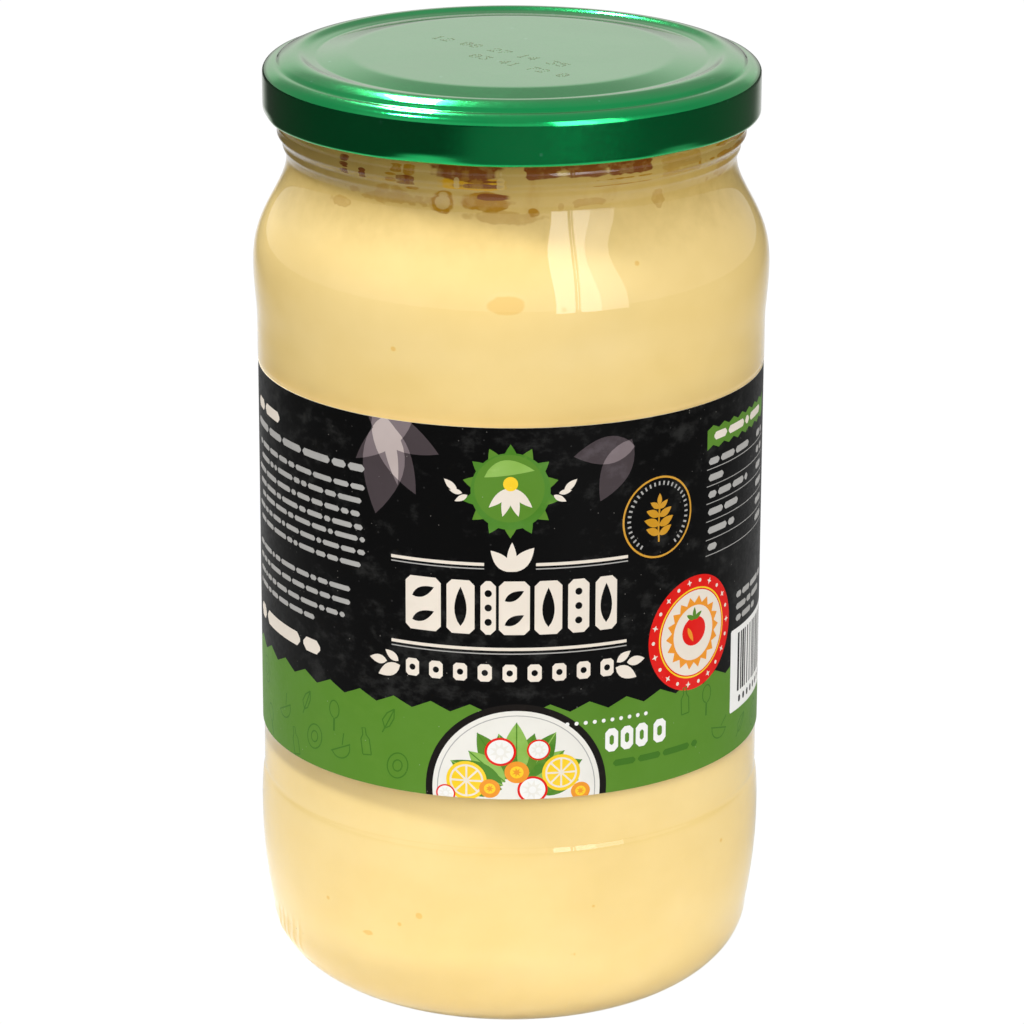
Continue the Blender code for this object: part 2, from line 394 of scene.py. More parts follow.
class SharedEffects:
    """The shader node groups that more than one finish uses, each built once."""

    side_radius: float = 42.0 * MM

    def __init__(self) -> None:
        """Starts with none built."""
        self.groups: dict[str, bpy.types.NodeTree] = {}

    def _start(
        self, name: str, takes: dict[str, float | None], gives: Sequence[str]
    ) -> tuple[Bench, Sockets, Sockets]:
        """Starts a group.

        Args:
            name: the group's name.
            takes: each input's name with its default, or with None where it is a colour.
            gives: each output's name. The one named Colour is a colour, and the rest are numbers.

        Returns:
            The group's bench, what comes in and what goes out.
        """
        tree = bpy.data.node_groups.new(name, "ShaderNodeTree")
        for label, default in takes.items():
            kind = "NodeSocketColor" if default is None else "NodeSocketFloat"
            socket = tree.interface.new_socket(label, in_out="INPUT", socket_type=kind)
            if default is not None:
                socket.default_value = default
        for label in gives:
            kind = "NodeSocketColor" if label == "Colour" else "NodeSocketFloat"
            tree.interface.new_socket(label, in_out="OUTPUT", socket_type=kind)
        self.groups[name] = tree
        bench = Bench(tree)
        return bench, bench.node("NodeGroupInput").outputs, bench.node("NodeGroupOutput").inputs

    def _use(self, bench: Bench, name: str, feeds: Feeds) -> bpy.types.Node:
        """Places a built group in a material with its own values."""
        return bench.node("ShaderNodeGroup", feeds, node_tree=self.groups[name])

    def grain(self, bench: Bench, scale: float, contrast: float) -> Sockets:
        """Fine grain with a slower unevenness under it.

        Args:
            bench: the material's bench.
            scale: how fine the grain is.
            contrast: how strong it is.

        Returns:
            The outputs Value and Height.
        """
        if "surface_grain" not in self.groups:
            takes = {"Scale": 400.0, "Contrast": 0.5}
            inner, taken, given = self._start("surface_grain", takes, ("Value", "Height"))
            where = inner.place()
            fine = inner.noise(where, taken["Scale"], 4.0, 0.6)
            slow = inner.noise(where, inner.math("MULTIPLY", taken["Scale"], 0.06), 2.0)
            both = inner.math("ADD", inner.math("MULTIPLY", fine, 0.6), inner.math("MULTIPLY", slow, 0.4))
            offset = inner.math("MULTIPLY", inner.math("SUBTRACT", both, 0.5), taken["Contrast"])
            inner.feed(given["Value"], inner.math("ADD", offset, 0.5, clamp=True))
            inner.feed(given["Height"], fine)
        return self._use(bench, "surface_grain", {"Scale": scale, "Contrast": contrast}).outputs

    def drift(self, bench: Bench, colour: object, scale: float, amount: float, seed: float = 0.0) -> Socket:
        """A colour that drifts lighter and darker over the surface.

        Args:
            bench: the material's bench.
            colour: the colour.
            scale: how fine the drift is.
            amount: how far it goes.
            seed: moves the pattern.

        Returns:
            The drifting colour.
        """
        if "colour_drift" not in self.groups:
            takes = {"Colour": None, "Scale": 60.0, "Amount": 0.1, "Seed": 0.0}
            inner, taken, given = self._start("colour_drift", takes, ("Colour",))
            feeds = {0: inner.place(), 1: taken["Seed"]}
            moved = inner.node("ShaderNodeVectorMath", feeds, operation="ADD")
            value = inner.noise(moved.outputs[0], taken["Scale"], 3.0)
            swing = inner.math("MULTIPLY", inner.math("SUBTRACT", value, 0.5), taken["Amount"])
            feeds = {
                "Color": taken["Colour"],
                "Value": inner.math("ADD", inner.math("MULTIPLY", swing, 2.0), 1.0),
                "Saturation": inner.math("SUBTRACT", 1.0, swing),
            }
            inner.feed(given["Colour"], inner.node("ShaderNodeHueSaturation", feeds).outputs[0])
        feeds = {"Colour": colour, "Scale": scale, "Amount": amount, "Seed": seed}
        return self._use(bench, "colour_drift", feeds).outputs[0]

    def specks(self, bench: Bench, scale: float, share: float, size: float) -> Socket:
        """Small scattered specks.

        Args:
            bench: the material's bench.
            scale: how close they may stand.
            share: how many of the places have one.
            size: their size as a share of their distance.

        Returns:
            Their mask.
        """
        if "scattered_specks" not in self.groups:
            takes = {"Scale": 500.0, "Share": 0.1, "Size": 0.2}
            inner, taken, given = self._start("scattered_specks", takes, ("Mask",))
            feeds = {"Vector": inner.place(), "Scale": taken["Scale"]}
            cells = inner.node("ShaderNodeTexVoronoi", feeds).outputs
            near = inner.math("LESS_THAN", cells["Distance"], taken["Size"])
            split = inner.node("ShaderNodeSeparateColor", {0: cells["Color"]})
            picked = inner.math("LESS_THAN", split.outputs[0], taken["Share"])
            inner.feed(given["Mask"], inner.math("MULTIPLY", near, picked))
        return self._use(bench, "scattered_specks", {"Scale": scale, "Share": share, "Size": size}).outputs[0]

    def wear(self, bench: Bench, low: float, high: float) -> Socket:
        """Rubbed edges, broken up by noise.

        Args:
            bench: the material's bench.
            low: the pointiness at which they start.
            high: the pointiness at which they are full.

        Returns:
            Their mask.
        """
        if "edge_wear" not in self.groups:
            inner, taken, given = self._start("edge_wear", {"Low": 0.52, "High": 0.6}, ("Mask",))
            edge = inner.node("ShaderNodeNewGeometry").outputs["Pointiness"]
            broken = inner.math("SUBTRACT", inner.noise(inner.place(), 900.0, 4.0), 0.5)
            both = inner.math("ADD", edge, inner.math("MULTIPLY", broken, 0.08))
            inner.feed(given["Mask"], inner.ramp(both, taken["Low"], taken["High"]))
        return self._use(bench, "edge_wear", {"Low": low, "High": high}).outputs[0]

    def patch(self, bench: Bench, place: SidePlace, smear: Smear) -> Socket:
        """A ragged patch on the jar's side.

        Args:
            bench: the material's bench.
            place: where the shaded point is round the jar.
            smear: the patch's middle, size and raggedness.

        Returns:
            The patch's mask.
        """
        if "side_patch" not in self.groups:
            takes = {
                "Around": 0.0, "Up": 0.1, "Wander": 0.0, "Angle": 0.0,
                "Height": 0.1, "Half Width": 0.005, "Half Height": 0.002, "Ragged": 0.5,
            }
            inner, taken, given = self._start("side_patch", takes, ("Mask",))
            turned = inner.math("SUBTRACT", taken["Around"], taken["Angle"])
            width = inner.math("MULTIPLY", inner.math("WRAP", turned, math.pi, -math.pi), self.side_radius)
            across = inner.math("DIVIDE", width, taken["Half Width"])
            rise = inner.math("SUBTRACT", taken["Up"], taken["Height"])
            up = inner.math("DIVIDE", rise, taken["Half Height"])
            squares = [inner.math("MULTIPLY", share, share) for share in (across, up)]
            away = inner.math("SQRT", inner.math("ADD", *squares))
            edge = inner.math("MULTIPLY_ADD", taken["Wander"], taken["Ragged"], away)
            inner.feed(given["Mask"], inner.ramp(edge, 1.10, 0.88))
        feeds = {
            "Around": place.around,
            "Up": place.up,
            "Wander": place.wander,
            "Angle": math.radians(smear.angle),
            "Height": smear.height * MM,
            "Half Width": smear.half_width * MM,
            "Half Height": smear.half_height * MM,
            "Ragged": smear.ragged,
        }
        return self._use(bench, "side_patch", feeds).outputs[0]

    def rough(self, bench: Bench, shader: bpy.types.Node, grain: Pair, roughness: Pair, relief: Pair) -> None:
        """Gives a shader a grainy roughness and a fine bump.

        Args:
            bench: the material's bench.
            shader: the shader.
            grain: the grain's scale and contrast.
            roughness: the lowest and the highest roughness.
            relief: the bump's strength and its depth in metres.
        """
        made = self.grain(bench, *grain)
        feeds = {
            "Roughness": bench.ramp(made["Value"], *GRAIN_RANGE, *roughness),
            "Normal": bench.bump(made["Height"], *relief),
        }
        bench.dress(shader, feeds)


EFFECTS = SharedEffects()


def new_material(name: str) -> tuple[bpy.types.Material, Bench, bpy.types.Node]:
    """Starts a material.

    Args:
        name: its name.

    Returns:
        The material, its bench and its Principled BSDF.
    """
    made = bpy.data.materials.new(name)
    made.use_nodes = True
    return made, Bench(made.node_tree), made.node_tree.nodes["Principled BSDF"]


@dataclass(frozen=True)
class GlassFinish:
    """Clear jar glass with a faint green tint and soft ripples from its mould."""

    tint: Colour = (0.975, 0.99, 0.965)
    index: float = 1.5
    ripple_size: float = 55.0
    ripple_scale: Place = (1.0, 1.0, 0.6)
    ripple_strength: float = 0.25
    handled: float = 0.03

    def material(self) -> bpy.types.Material:
        """Mixes the glass. Shadow and diffuse rays pass straight through it.

        Returns:
            The glass's material.
        """
        made, bench, shader = new_material("clear_glass")
        ripple = bench.noise(bench.stretched(bench.place(), self.ripple_scale), self.ripple_size, 2.0, 0.45)
        normal = bench.bump(ripple, self.ripple_strength, 0.25 * MM)
        pits = EFFECTS.specks(bench, 260.0, 0.05, 0.12)
        handling = EFFECTS.grain(bench, 160.0, 0.8)["Value"]
        feeds = {
            "Base Color": EFFECTS.drift(bench, self.tint, 30.0, 0.02),
            "Metallic": 0.0,
            "Transmission Weight": 1.0,
            "IOR": self.index,
            "Roughness": bench.ramp(handling, 0.45, 0.75, 0.0, self.handled),
            "Normal": bench.bump(pits, 0.3, 0.04 * MM, normal),
        }
        bench.dress(shader, feeds)
        path = bench.node("ShaderNodeLightPath").outputs
        clear = bench.node("ShaderNodeBsdfTransparent", {0: self.tint})
        straight = bench.math("MAXIMUM", path["Is Shadow Ray"], path["Is Diffuse Ray"])
        bench.cover(straight, shader, clear)
        return made


@dataclass(frozen=True)
class FillingFinish:
    """Creamy pale yellow mayonnaise; near the top, amber streaks and gaps holding painted shade and a painted
    gold reflection, and painted shade darkening it towards the lid.
    """

    cream: Colour = (0.93, 0.668, 0.262)
    pale: Colour = (0.95, 0.70, 0.30)
    # The neck colour is painted shade: what the cream darkens to under the lid's overhang.
    neck: Colour = (0.53, 0.35, 0.088)
    # The amber is partly the thin film where the filling leaves the glass, partly painted shade of the hollow
    # behind it.
    amber: Colour = (0.40, 0.19, 0.004)
    # The gold is a painted reflection of the lid's gold inside, seen through a gap.
    gold: Colour = (0.64, 0.34, 0.004)
    # The darkest colour is painted shade in the deepest gaps.
    gap_shade: Colour = (0.21, 0.055, 0.0)
    curd: Colour = (0.62, 0.44, 0.16)
    spice: Colour = (0.86, 0.50, 0.10)
    # The heights over which the painted shade under the lid comes in.
    neck_shade_from: float = 138.0 * MM
    neck_shade_to: float = 153.5 * MM
    wander: float = 4.0
    shine: float = 0.15
    faint: tuple[Smear, ...] = (
        Smear(-1.5, 147.2, 7.00, 1.07, 0.50),
        Smear(-30.7, 149.6, 8.31, 1.42, 0.90),
        Smear(40.2, 148.6, 1.48, 1.42, 0.60),
        Smear(20.9, 149.5, 2.98, 0.89, 0.90),
        Smear(12.5, 149.1, 0.57, 0.71, 0.60),
        Smear(48.2, 153.8, 5.05, 0.71, 0.70),
        Smear(-48.8, 146.8, 3.79, 0.89, 0.90),
        Smear(67.2, 150.4, 5.65, 1.07, 0.90),
    )
    # Amber gaps: thin film with painted shade of the hollows behind.
    gaps: tuple[Smear, ...] = (
        Smear(-7.8, 150.1, 5.21, 1.69, 0.42),
        Smear(-16.9, 148.8, 0.97, 1.16, 0.50),
        Smear(5.8, 148.1, 1.30, 0.89, 0.60),
        Smear(-25.6, 151.6, 1.44, 0.53, 0.70),
        Smear(-26.8, 154.2, 1.21, 0.71, 0.60),
        Smear(29.8, 152.9, 6.02, 0.32, 0.60),
        Smear(-32.0, 153.5, 1.11, 0.27, 0.50),
        Smear(-30.2, 154.3, 1.46, 0.28, 0.60),
        Smear(-17.5, 149.7, 2.24, 2.05, 0.30),
        Smear(77.3, 153.0, 12.07, 0.53, 0.80),
        Smear(140.0, 153.5, 7.0, 2.0, 0.80),
        Smear(-120.0, 152.0, 6.0, 2.2, 0.80),
    )
    # A painted reflection of the lid's gold inside, in a gap under the lid.
    gold_reflections: tuple[Smear, ...] = (Smear(-9.7, 153.2, 6.09, 0.98, 0.35),)
    # The deepest gaps, filled with painted shade.
    shaded_gaps: tuple[Smear, ...] = (
        Smear(-11.3, 155.3, 6.53, 1.90, 0.25),
        Smear(-7.2, 153.4, 3.68, 0.27, 0.60),
        Smear(-4.8, 151.0, 3.13, 0.36, 0.60),
        Smear(8.7, 154.8, 3.14, 1.00, 0.60),
        Smear(18.8, 154.8, 5.00, 1.15, 0.50),
        Smear(31.2, 154.7, 5.03, 1.05, 0.50),
        Smear(-27.1, 153.2, 1.63, 0.53, 0.60),
        Smear(-46.9, 153.8, 1.37, 0.53, 0.50),
        Smear(-40.5, 153.3, 0.97, 0.36, 0.50),
        Smear(-46.3, 153.3, 0.79, 0.27, 0.60),
        Smear(175.0, 152.8, 6.0, 1.1, 0.80),
    )
    blotches: tuple[Smear, ...] = (
        Smear(-17.6, 149.9, 1.46, 1.42, 0.35),
        Smear(-13.8, 153.4, 0.47, 0.71, 0.50),
        Smear(-2.7, 153.4, 0.73, 0.80, 0.50),
        Smear(16.1, 156.7, 1.33, 0.89, 0.50),
    )
    spots: tuple[Smear, ...] = (
        Smear(30.1, 138.9, 0.40, 0.35, 0.3),
        Smear(11.7, 132.9, 0.40, 0.35, 0.3),
        Smear(-26.9, 125.2, 0.38, 0.35, 0.3),
        Smear(-47.6, 22.8, 0.45, 0.40, 0.3),
        Smear(-21.5, 23.9, 0.55, 0.50, 0.3),
        Smear(-26.5, 21.7, 0.50, 0.45, 0.3),
        Smear(-35.5, 18.7, 1.20, 0.40, 0.6),
        Smear(59.1, 31.0, 0.30, 0.28, 0.3),
        Smear(19.9, 26.0, 0.28, 0.25, 0.3),
        Smear(15.3, 17.4, 0.30, 0.25, 0.3),
        Smear(-140.0, 28.0, 0.45, 0.40, 0.3),
    )
    blob: tuple[Smear, ...] = (Smear(-1.0, 133.7, 3.2, 1.5, 0.16),)
    blob_rim: tuple[Smear, ...] = (Smear(-1.0, 133.8, 3.7, 1.95, 0.16),)

    def material(self, upper: bool) -> bpy.types.Material:
        """The filling's material.

        Args:
            upper: whether it is for the top, with the gaps, or for the plain rest below.

        Returns:
            The material.
        """
        made, bench, shader = new_material("mayonnaise_upper" if upper else "mayonnaise_lower")
        where = bench.place()
        across, along, height = bench.split(where)
        folds = bench.noise(bench.stretched(where, (1.0, 1.0, 2.2)), 24.0, 3.0)
        body = bench.mix(bench.ramp(folds, 0.35, 0.7), self.cream, self.pale)
        body = EFFECTS.drift(bench, body, 90.0, 0.05, 3.0)
        wander = bench.math("SUBTRACT", bench.noise(where, 310.0, 2.5), 0.5)
        around = bench.math("ARCTAN2", across, bench.math("MULTIPLY", along, -1.0))
        place = SidePlace(around, height, bench.math("MULTIPLY", wander, self.wander))
        edge = bench.math("MULTIPLY_ADD", wander, self.wander * MM, height)
        # Painted shade: the cream darkens up the neck towards the lid, as under the lid's overhang.
        neck = bench.ramp(edge, self.neck_shade_from, self.neck_shade_to)
        body = bench.mix(neck, body, self.neck)
        if upper:
            streaks = bench.noise(bench.stretched(where, (1.0, 1.0, 0.3)), 260.0, 3.0, 0.6)
            thin = bench.math("MULTIPLY", bench.ramp(streaks, 0.52, 0.72), neck)
            body = bench.mix(bench.math("MULTIPLY", thin, 0.2), body, self.amber)
            mottle = bench.ramp(bench.noise(where, 520.0, 3.0, 0.6), 0.34, 0.52, 0.7, 1.0)
            # Gaps where the filling leaves the glass, over the painted neck shade: faint film, amber gaps
            # with painted shade, the painted gold reflection, the deepest gaps in painted shade, and cream
            # blotches where it touches again.
            layers = [
                (self.faint, self.amber, bench.math("MULTIPLY", mottle, 0.42)),
                (self.gaps, self.amber, mottle),
                (self.gold_reflections, self.gold, mottle),
                (self.shaded_gaps, self.gap_shade, mottle),
                (self.blotches, self.curd, 0.7),
            ]
        else:
            layers = [
                (self.blob_rim, self.pale, 0.6),
                (self.blob, self.spice, 0.5),
                (self.spots, self.spice, 0.7),
            ]
        for smears, colour, share in layers:
            body = self.over(bench, body, place, smears, colour, share)
        grain = EFFECTS.grain(bench, 700.0, 0.6)["Value"]
        feeds = {
            "Base Color": body,
            "Roughness": bench.ramp(grain, *GRAIN_RANGE, 0.42, 0.6),
            "Normal": bench.bump(folds, 0.3, 0.5 * MM),
            "Specular IOR Level": self.shine,
        }
        bench.dress(shader, feeds)
        return made

    @staticmethod
    def over(
        bench: Bench, body: Socket, place: SidePlace, smears: Sequence[Smear], colour: Colour, share: object
    ) -> Socket:
        """Lays several smears of one colour over the body's colour.

        Args:
            bench: the material's bench.
            body: the colour so far.
            place: where the shaded point is round the jar.
            smears: the smears.
            colour: their colour.
            share: how much of it they take.

        Returns:
            The new colour.
        """
        total = EFFECTS.patch(bench, place, smears[0])
        for smear in smears[1:]:
            total = bench.math("MAXIMUM", total, EFFECTS.patch(bench, place, smear))
        return bench.mix(bench.math("MULTIPLY", total, share), body, colour)


@dataclass(frozen=True)
class LacquerFinish:
    """Green see-through lacquer over bright tinplate."""

    green: Colour = (0.0, 0.50, 0.125)
    rubbed: Colour = (0.03, 0.58, 0.19)
    speck: Colour = (0.08, 0.62, 0.26)
    edge: Colour = (1.0, 0.79, 0.80)
    roughness: Pair = (0.10, 0.20)

    def material(self) -> bpy.types.Material:
        """Mixes the lid's lacquer.

        Returns:
            The lacquer's material.
        """
        made, bench, shader = new_material("green_lacquer")
        body = EFFECTS.drift(bench, self.green, 45.0, 0.10, 5.0)
        body = bench.mix(EFFECTS.wear(bench, 0.56, 0.66), body, self.rubbed)
        body = bench.mix(EFFECTS.specks(bench, 420.0, 0.04, 0.14), body, self.speck)
        feeds = {
            "Base Color": body,
            "Metallic": 1.0,
            "Specular Tint": self.edge,
            "Coat Weight": 0.75,
            "Coat Roughness": 0.03,
            "Coat IOR": 1.4,
        }
        bench.dress(shader, feeds)
        EFFECTS.rough(bench, shader, (1500.0, 0.7), self.roughness, (0.25, 0.02 * MM))
        return made


@dataclass(frozen=True)
class DotInkFinish:
    """The thin grey-green ink of the printed dots on the lid."""

    colour: Colour = (0.25, 0.27, 0.17)
    roughness: Pair = (0.37, 0.53)
    scale: float = 400.0

    def material(self) -> bpy.types.Material:
        """Mixes the dots' ink.

        Returns:
            The material.
        """
        made, bench, shader = new_material("date_ink")
        bench.feed(shader.inputs["Base Color"], EFFECTS.drift(bench, self.colour, self.scale, 0.1))
        EFFECTS.rough(bench, shader, (self.scale * 2.0, 0.5), self.roughness, (0.2, 0.02 * MM))
        return made


@dataclass(frozen=True)
class InkFinish:
    """One printed colour on coated paper."""

    colour: Colour
    fleck: Colour
    flecks: float = 0.0
    drift: float = 0.06
    dust: Colour = (0.55, 0.52, 0.47)
    roughness: Pair = (0.35, 0.52)
    shine: float = 0.07

    def material(self, name: str) -> bpy.types.Material:
        """Mixes the ink, with flecks where it has any.

        Args:
            name: the material's name.

        Returns:
            The material.
        """
        made, bench, shader = new_material(name)
        body = EFFECTS.drift(bench, self.colour, 120.0, self.drift, 1.0)
        if self.flecks:
            where = bench.place()
            cloud = bench.noise(bench.stretched(where, (1.0, 1.0, 1.4)), 230.0, 5.0, 0.65)
            area = bench.math("SUBTRACT", bench.noise(where, 28.0, 2.0), 0.5)
            level = bench.math("ADD", cloud, bench.math("MULTIPLY", area, 0.5))
            body = bench.mix(bench.ramp(level, 0.52, 0.78, 0.0, self.flecks), body, self.fleck)
            chips = EFFECTS.specks(bench, 900.0, 0.06, 0.16)
            body = bench.mix(bench.math("MULTIPLY", chips, self.flecks), body, self.fleck)
        rub = EFFECTS.specks(bench, 1500.0, 0.03, 0.15)
        body = bench.mix(bench.math("MULTIPLY", rub, 0.25), body, self.dust)
        bench.dress(shader, {"Base Color": body, "Specular IOR Level": self.shine})
        EFFECTS.rough(bench, shader, (1100.0, 0.6), self.roughness, (0.15, 0.03 * MM))
        return made


@dataclass
class Glass:
    """The jar: a turned wall with bumpers, a label panel, a thread and a knurled foot.

    groove_steps are pairs of a distance out from the neck and a height, and bead_steps pairs of a distance
    in from the bead and a height, in millimetres. The angles of the seam and the heel marks are degrees from
    the front.
    """

    bearing_inner: float = 25.0 * MM
    knurl_outer: float = 31.5 * MM
    push_up: float = 3.6 * MM
    heel_radius: float = 42.65 * MM
    heel_height: float = 13.0 * MM
    heel_centre: float = 24.5 * MM
    lower_radius: float = 44.33 * MM
    lower_height: float = 30.5 * MM
    lower_top: float = 38.4 * MM
    below_panel: float = 43.8 * MM
    panel: float = 43.93 * MM
    above_panel: float = 44.1 * MM
    label_bottom: float = 47.2 * MM
    label_top: float = 113.1 * MM
    upper_radius: float = 44.67 * MM
    upper_height: float = 130.2 * MM
    neck_radius: float = 38.72 * MM
    neck_height: float = 149.2 * MM
    fullness: float = 1.25
    bead_radius: float = 40.4 * MM
    bead_height: float = 154.8 * MM
    finish_radius: float = 39.6 * MM
    mouth_radius: float = 36.6 * MM
    top: float = 165.4 * MM
    wall: float = 2.2 * MM
    floor: float = 5.0 * MM
    floor_rise: float = 2.9 * MM
    inner_heel: float = 12.0 * MM
    panel_inside: float = 41.35 * MM
    lugs: int = 6
    lug_angle: float = math.radians(-109.0)
    thread_relief: float = 1.1 * MM
    thread_start: float = 157.4 * MM
    thread_rise: float = 5.6 * MM
    thread_half: float = 1.3 * MM
    run_out: float = 0.12
    seam_angle: float = 14.4
    seam_relief: float = 0.12 * MM
    seam_width: float = 0.55
    dots: int = 96
    dot_relief: float = 0.22 * MM
    groove_steps: tuple[Pair, ...] = (
        (0.06, 149.6), (0.22, 150.15), (0.42, 150.7), (0.66, 151.1),
        (0.70, 151.5), (0.70, 152.0), (0.86, 152.5),
    )
    bead_steps: tuple[Pair, ...] = (
        (0.34, 153.0), (0.04, 153.5), (0.07, 154.0), (0.07, 154.6),
        (0.01, 155.0), (0.16, 155.45), (0.50, 155.85),
    )
    heel_marks: tuple[float, ...] = (-74.0, -70.5, -67.5, -64.0, -60.5)
    mark_lean: float = 0.35
    mark_half_width: float = 0.75
    mark_height: float = 11.5
    mark_half_height: float = 2.6
    mark_relief: float = 0.16 * MM
    column_count: int = 320
    angles: np.ndarray = field(init=False)

    def __post_init__(self) -> None:
        """Lays out the columns, closer at the mould seams and at the raised marks."""
        seams = [(angle, 1.2, 0.25) for angle in (self.seam_angle, self.seam_angle + 180.0)]
        self.angles = columns(self.column_count, [*seams, (-66.0, 11.0, 0.3)])

    def shoulder(self, count: int) -> list[Point]:
        """The S-shaped shoulder from the upper bumper to the neck groove.

        Args:
            count: how many points it has.

        Returns:
            (radius, height) pairs.
        """
        made = []
        for share in spread(0.0, 1.0, count):
            swing = math.cos(math.pi * share**self.fullness)
            radius = self.neck_radius + (self.upper_radius - self.neck_radius) * (1.0 + swing) / 2.0
            made.append((radius, self.upper_height + (self.neck_height - self.upper_height) * share))
        return made

    def outside(self) -> list[Point]:
        """The outside from the axis under the jar up to the rim.

        Returns:
            (radius, height) pairs.
        """
        made = []
        for radius in spread(0.0, self.bearing_inner, 9):
            share = radius / self.bearing_inner
            made.append((radius, self.push_up * (1.0 - share * share)))
        made.append((self.bearing_inner + 0.5 * MM, 0.02 * MM))
        made += [(self.bearing_inner + out * MM, 0.0) for out in (1.4, 2.2, 3.0)]
        reach = self.heel_radius - self.heel_centre
        for turn in spread(math.radians(15.0), math.radians(84.0), 44):
            across = self.heel_centre + reach * math.sin(turn)
            made.append((across, self.heel_height * (1.0 - math.cos(turn))))
        fall = (self.lower_radius - self.heel_radius) / (self.lower_height - self.heel_height) ** 2
        for height in spread(self.heel_height, self.lower_height, 24):
            made.append((self.lower_radius - fall * (self.lower_height - height) ** 2, height))
        bumper = [
            (self.lower_radius, self.lower_height + 2.0 * MM),
            (self.lower_radius - 0.12 * MM, self.lower_top - 2.9 * MM),
            (self.lower_radius - 0.28 * MM, self.lower_top - 1.2 * MM),
            (self.below_panel - 0.06 * MM, self.lower_top - 0.2 * MM),
            (self.below_panel + 0.03 * MM, self.lower_top + 0.7 * MM),
            (self.below_panel, self.lower_top + 2.2 * MM),
        ]
        made += rounded(bumper)
        below = [(self.below_panel, 41.5 * MM), (self.below_panel, self.label_bottom - 0.6 * MM)]
        made += fill_in(below, 1.0 * MM)
        made.append((self.panel, self.label_bottom - 0.2 * MM))
        panel = [(self.panel, self.label_bottom + 1.0 * MM), (self.panel, self.label_top - 1.0 * MM)]
        made += fill_in(panel, 6.0 * MM)
        made.append((self.panel, self.label_top + 0.2 * MM))
        above = [
            (self.above_panel, self.label_top + 0.8 * MM),
            (self.above_panel, 118.0 * MM),
            (self.above_panel, 121.8 * MM),
            (self.above_panel + 0.38 * MM, 126.0 * MM),
            (self.upper_radius - 0.04 * MM, 128.4 * MM),
        ]
        made += fill_in(rounded(above), 0.8 * MM)
        made += self.shoulder(44)
        made += self.finish()
        return made

    def finish(self) -> list[Point]:
        """The neck groove's ridges, the bead, the rows for the thread and the round rim.

        Returns:
            (radius, height) pairs.
        """
        groove = [(self.neck_radius + out * MM, height * MM) for out, height in self.groove_steps]
        groove += [(self.bead_radius - cut * MM, height * MM) for cut, height in self.bead_steps]
        groove.append((self.finish_radius, 156.4 * MM))
        made = rounded(groove)
        for height in spread(self.bead_height + 1.9 * MM, self.top - 1.5 * MM, 22):
            made.append((self.finish_radius, height))
        rim = [
            (self.finish_radius, self.top - 1.2 * MM),
            (self.finish_radius - 0.1 * MM, self.top - 0.1 * MM),
            (self.finish_radius - 1.2 * MM, self.top),
            (self.mouth_radius + 1.2 * MM, self.top),
            (self.mouth_radius + 0.1 * MM, self.top - 0.1 * MM),
            (self.mouth_radius, self.top - 1.4 * MM),
        ]
        return made + rounded(rim)

    def inside(self, offset: float = 0.0) -> list[Point]:
        """The inside from the mouth down to the axis.

        Args:
            offset: how far it is moved out into the glass.

        Returns:
            The profile.
        """
        made = [(self.mouth_radius + offset, self.neck_height + 5.0 * MM)]
        for radius, height in reversed(self.shoulder(33)):
            made.append((min(radius - self.wall, self.upper_radius - self.wall) + offset, height))
        made[1] = (self.mouth_radius + offset, self.neck_height)
        made.append((self.upper_radius - self.wall + offset, 127.0 * MM))
        straight = self.panel_inside + offset
        made.append((straight, 119.0 * MM))
        made += fill_in([(straight, 110.0 * MM), (straight, 30.0 * MM)], 8.0 * MM)
        centre = self.panel_inside - self.inner_heel
        low = self.floor - offset
        for turn in spread(math.radians(90.0), math.radians(8.0), 24):
            radius = centre + (self.inner_heel + offset) * math.sin(turn)
            made.append((radius, low + (self.inner_heel + offset) * (1.0 - math.cos(turn))))
        for share in (0.85, 0.65, 0.4, 0.2, 0.0):
            made.append((share * centre, low + self.floor_rise * (1.0 - share * share)))
        return made

    def shape(self, radius: Grid, angle: Grid, height: Grid) -> tuple[Grid, Grid]:
        """Raises the thread, the mould seams, the foot's dots and the heel marks.

        Args:
            radius: each point's radius.
            angle: its angle from +X.
            height: its height.

        Returns:
            The new radius and height.
        """
        outside = radius > self.neck_radius - 0.2 * MM
        finish = (np.abs(radius - self.finish_radius) < 0.01 * MM) & (height > self.bead_height + 1.0 * MM)
        pitch = 2.0 * math.pi / self.lugs
        share = ((angle - self.lug_angle + pitch / 2.0) % pitch) / pitch
        middle = self.thread_start + self.thread_rise * share
        ridge = smooth_step(1.0 - np.abs(height - middle) / self.thread_half)
        ends = smooth_step(np.minimum(share, 1.0 - share) / self.run_out)
        radius = radius + finish * self.thread_relief * ridge * ends
        front = np.degrees(from_front(angle))
        bare = (height > self.label_top + 1.0 * MM) | (height < self.label_bottom - 1.0 * MM)
        bare = bare & outside & (height > 1.0 * MM)
        for seam in (self.seam_angle, self.seam_angle - 180.0):
            away = np.abs((front - seam + 180.0) % 360.0 - 180.0)
            room = bare & (radius < self.upper_radius - 0.1 * MM)
            radius = radius + room * self.seam_relief * smooth_step(1.0 - away / self.seam_width)
        foot = (height < 0.4 * MM) & (radius > self.bearing_inner + 0.2 * MM) & (radius < self.knurl_outer)
        wave = 0.5 + 0.5 * np.cos(angle * self.dots)
        height = height + foot * self.dot_relief * (1.0 - wave)
        level = height / MM
        low = (height < 17.0 * MM) & (height > 6.0 * MM) & (radius > 36.0 * MM)
        tall = smooth_step(1.5 - np.abs(level - self.mark_height) / self.mark_half_height)
        for mark in self.heel_marks:
            lean = mark + (level - 12.0) * self.mark_lean
            wide = smooth_step(1.4 - np.abs(front - lean) / self.mark_half_width)
            radius = radius + low * self.mark_relief * (wide * tall)
        return radius, height

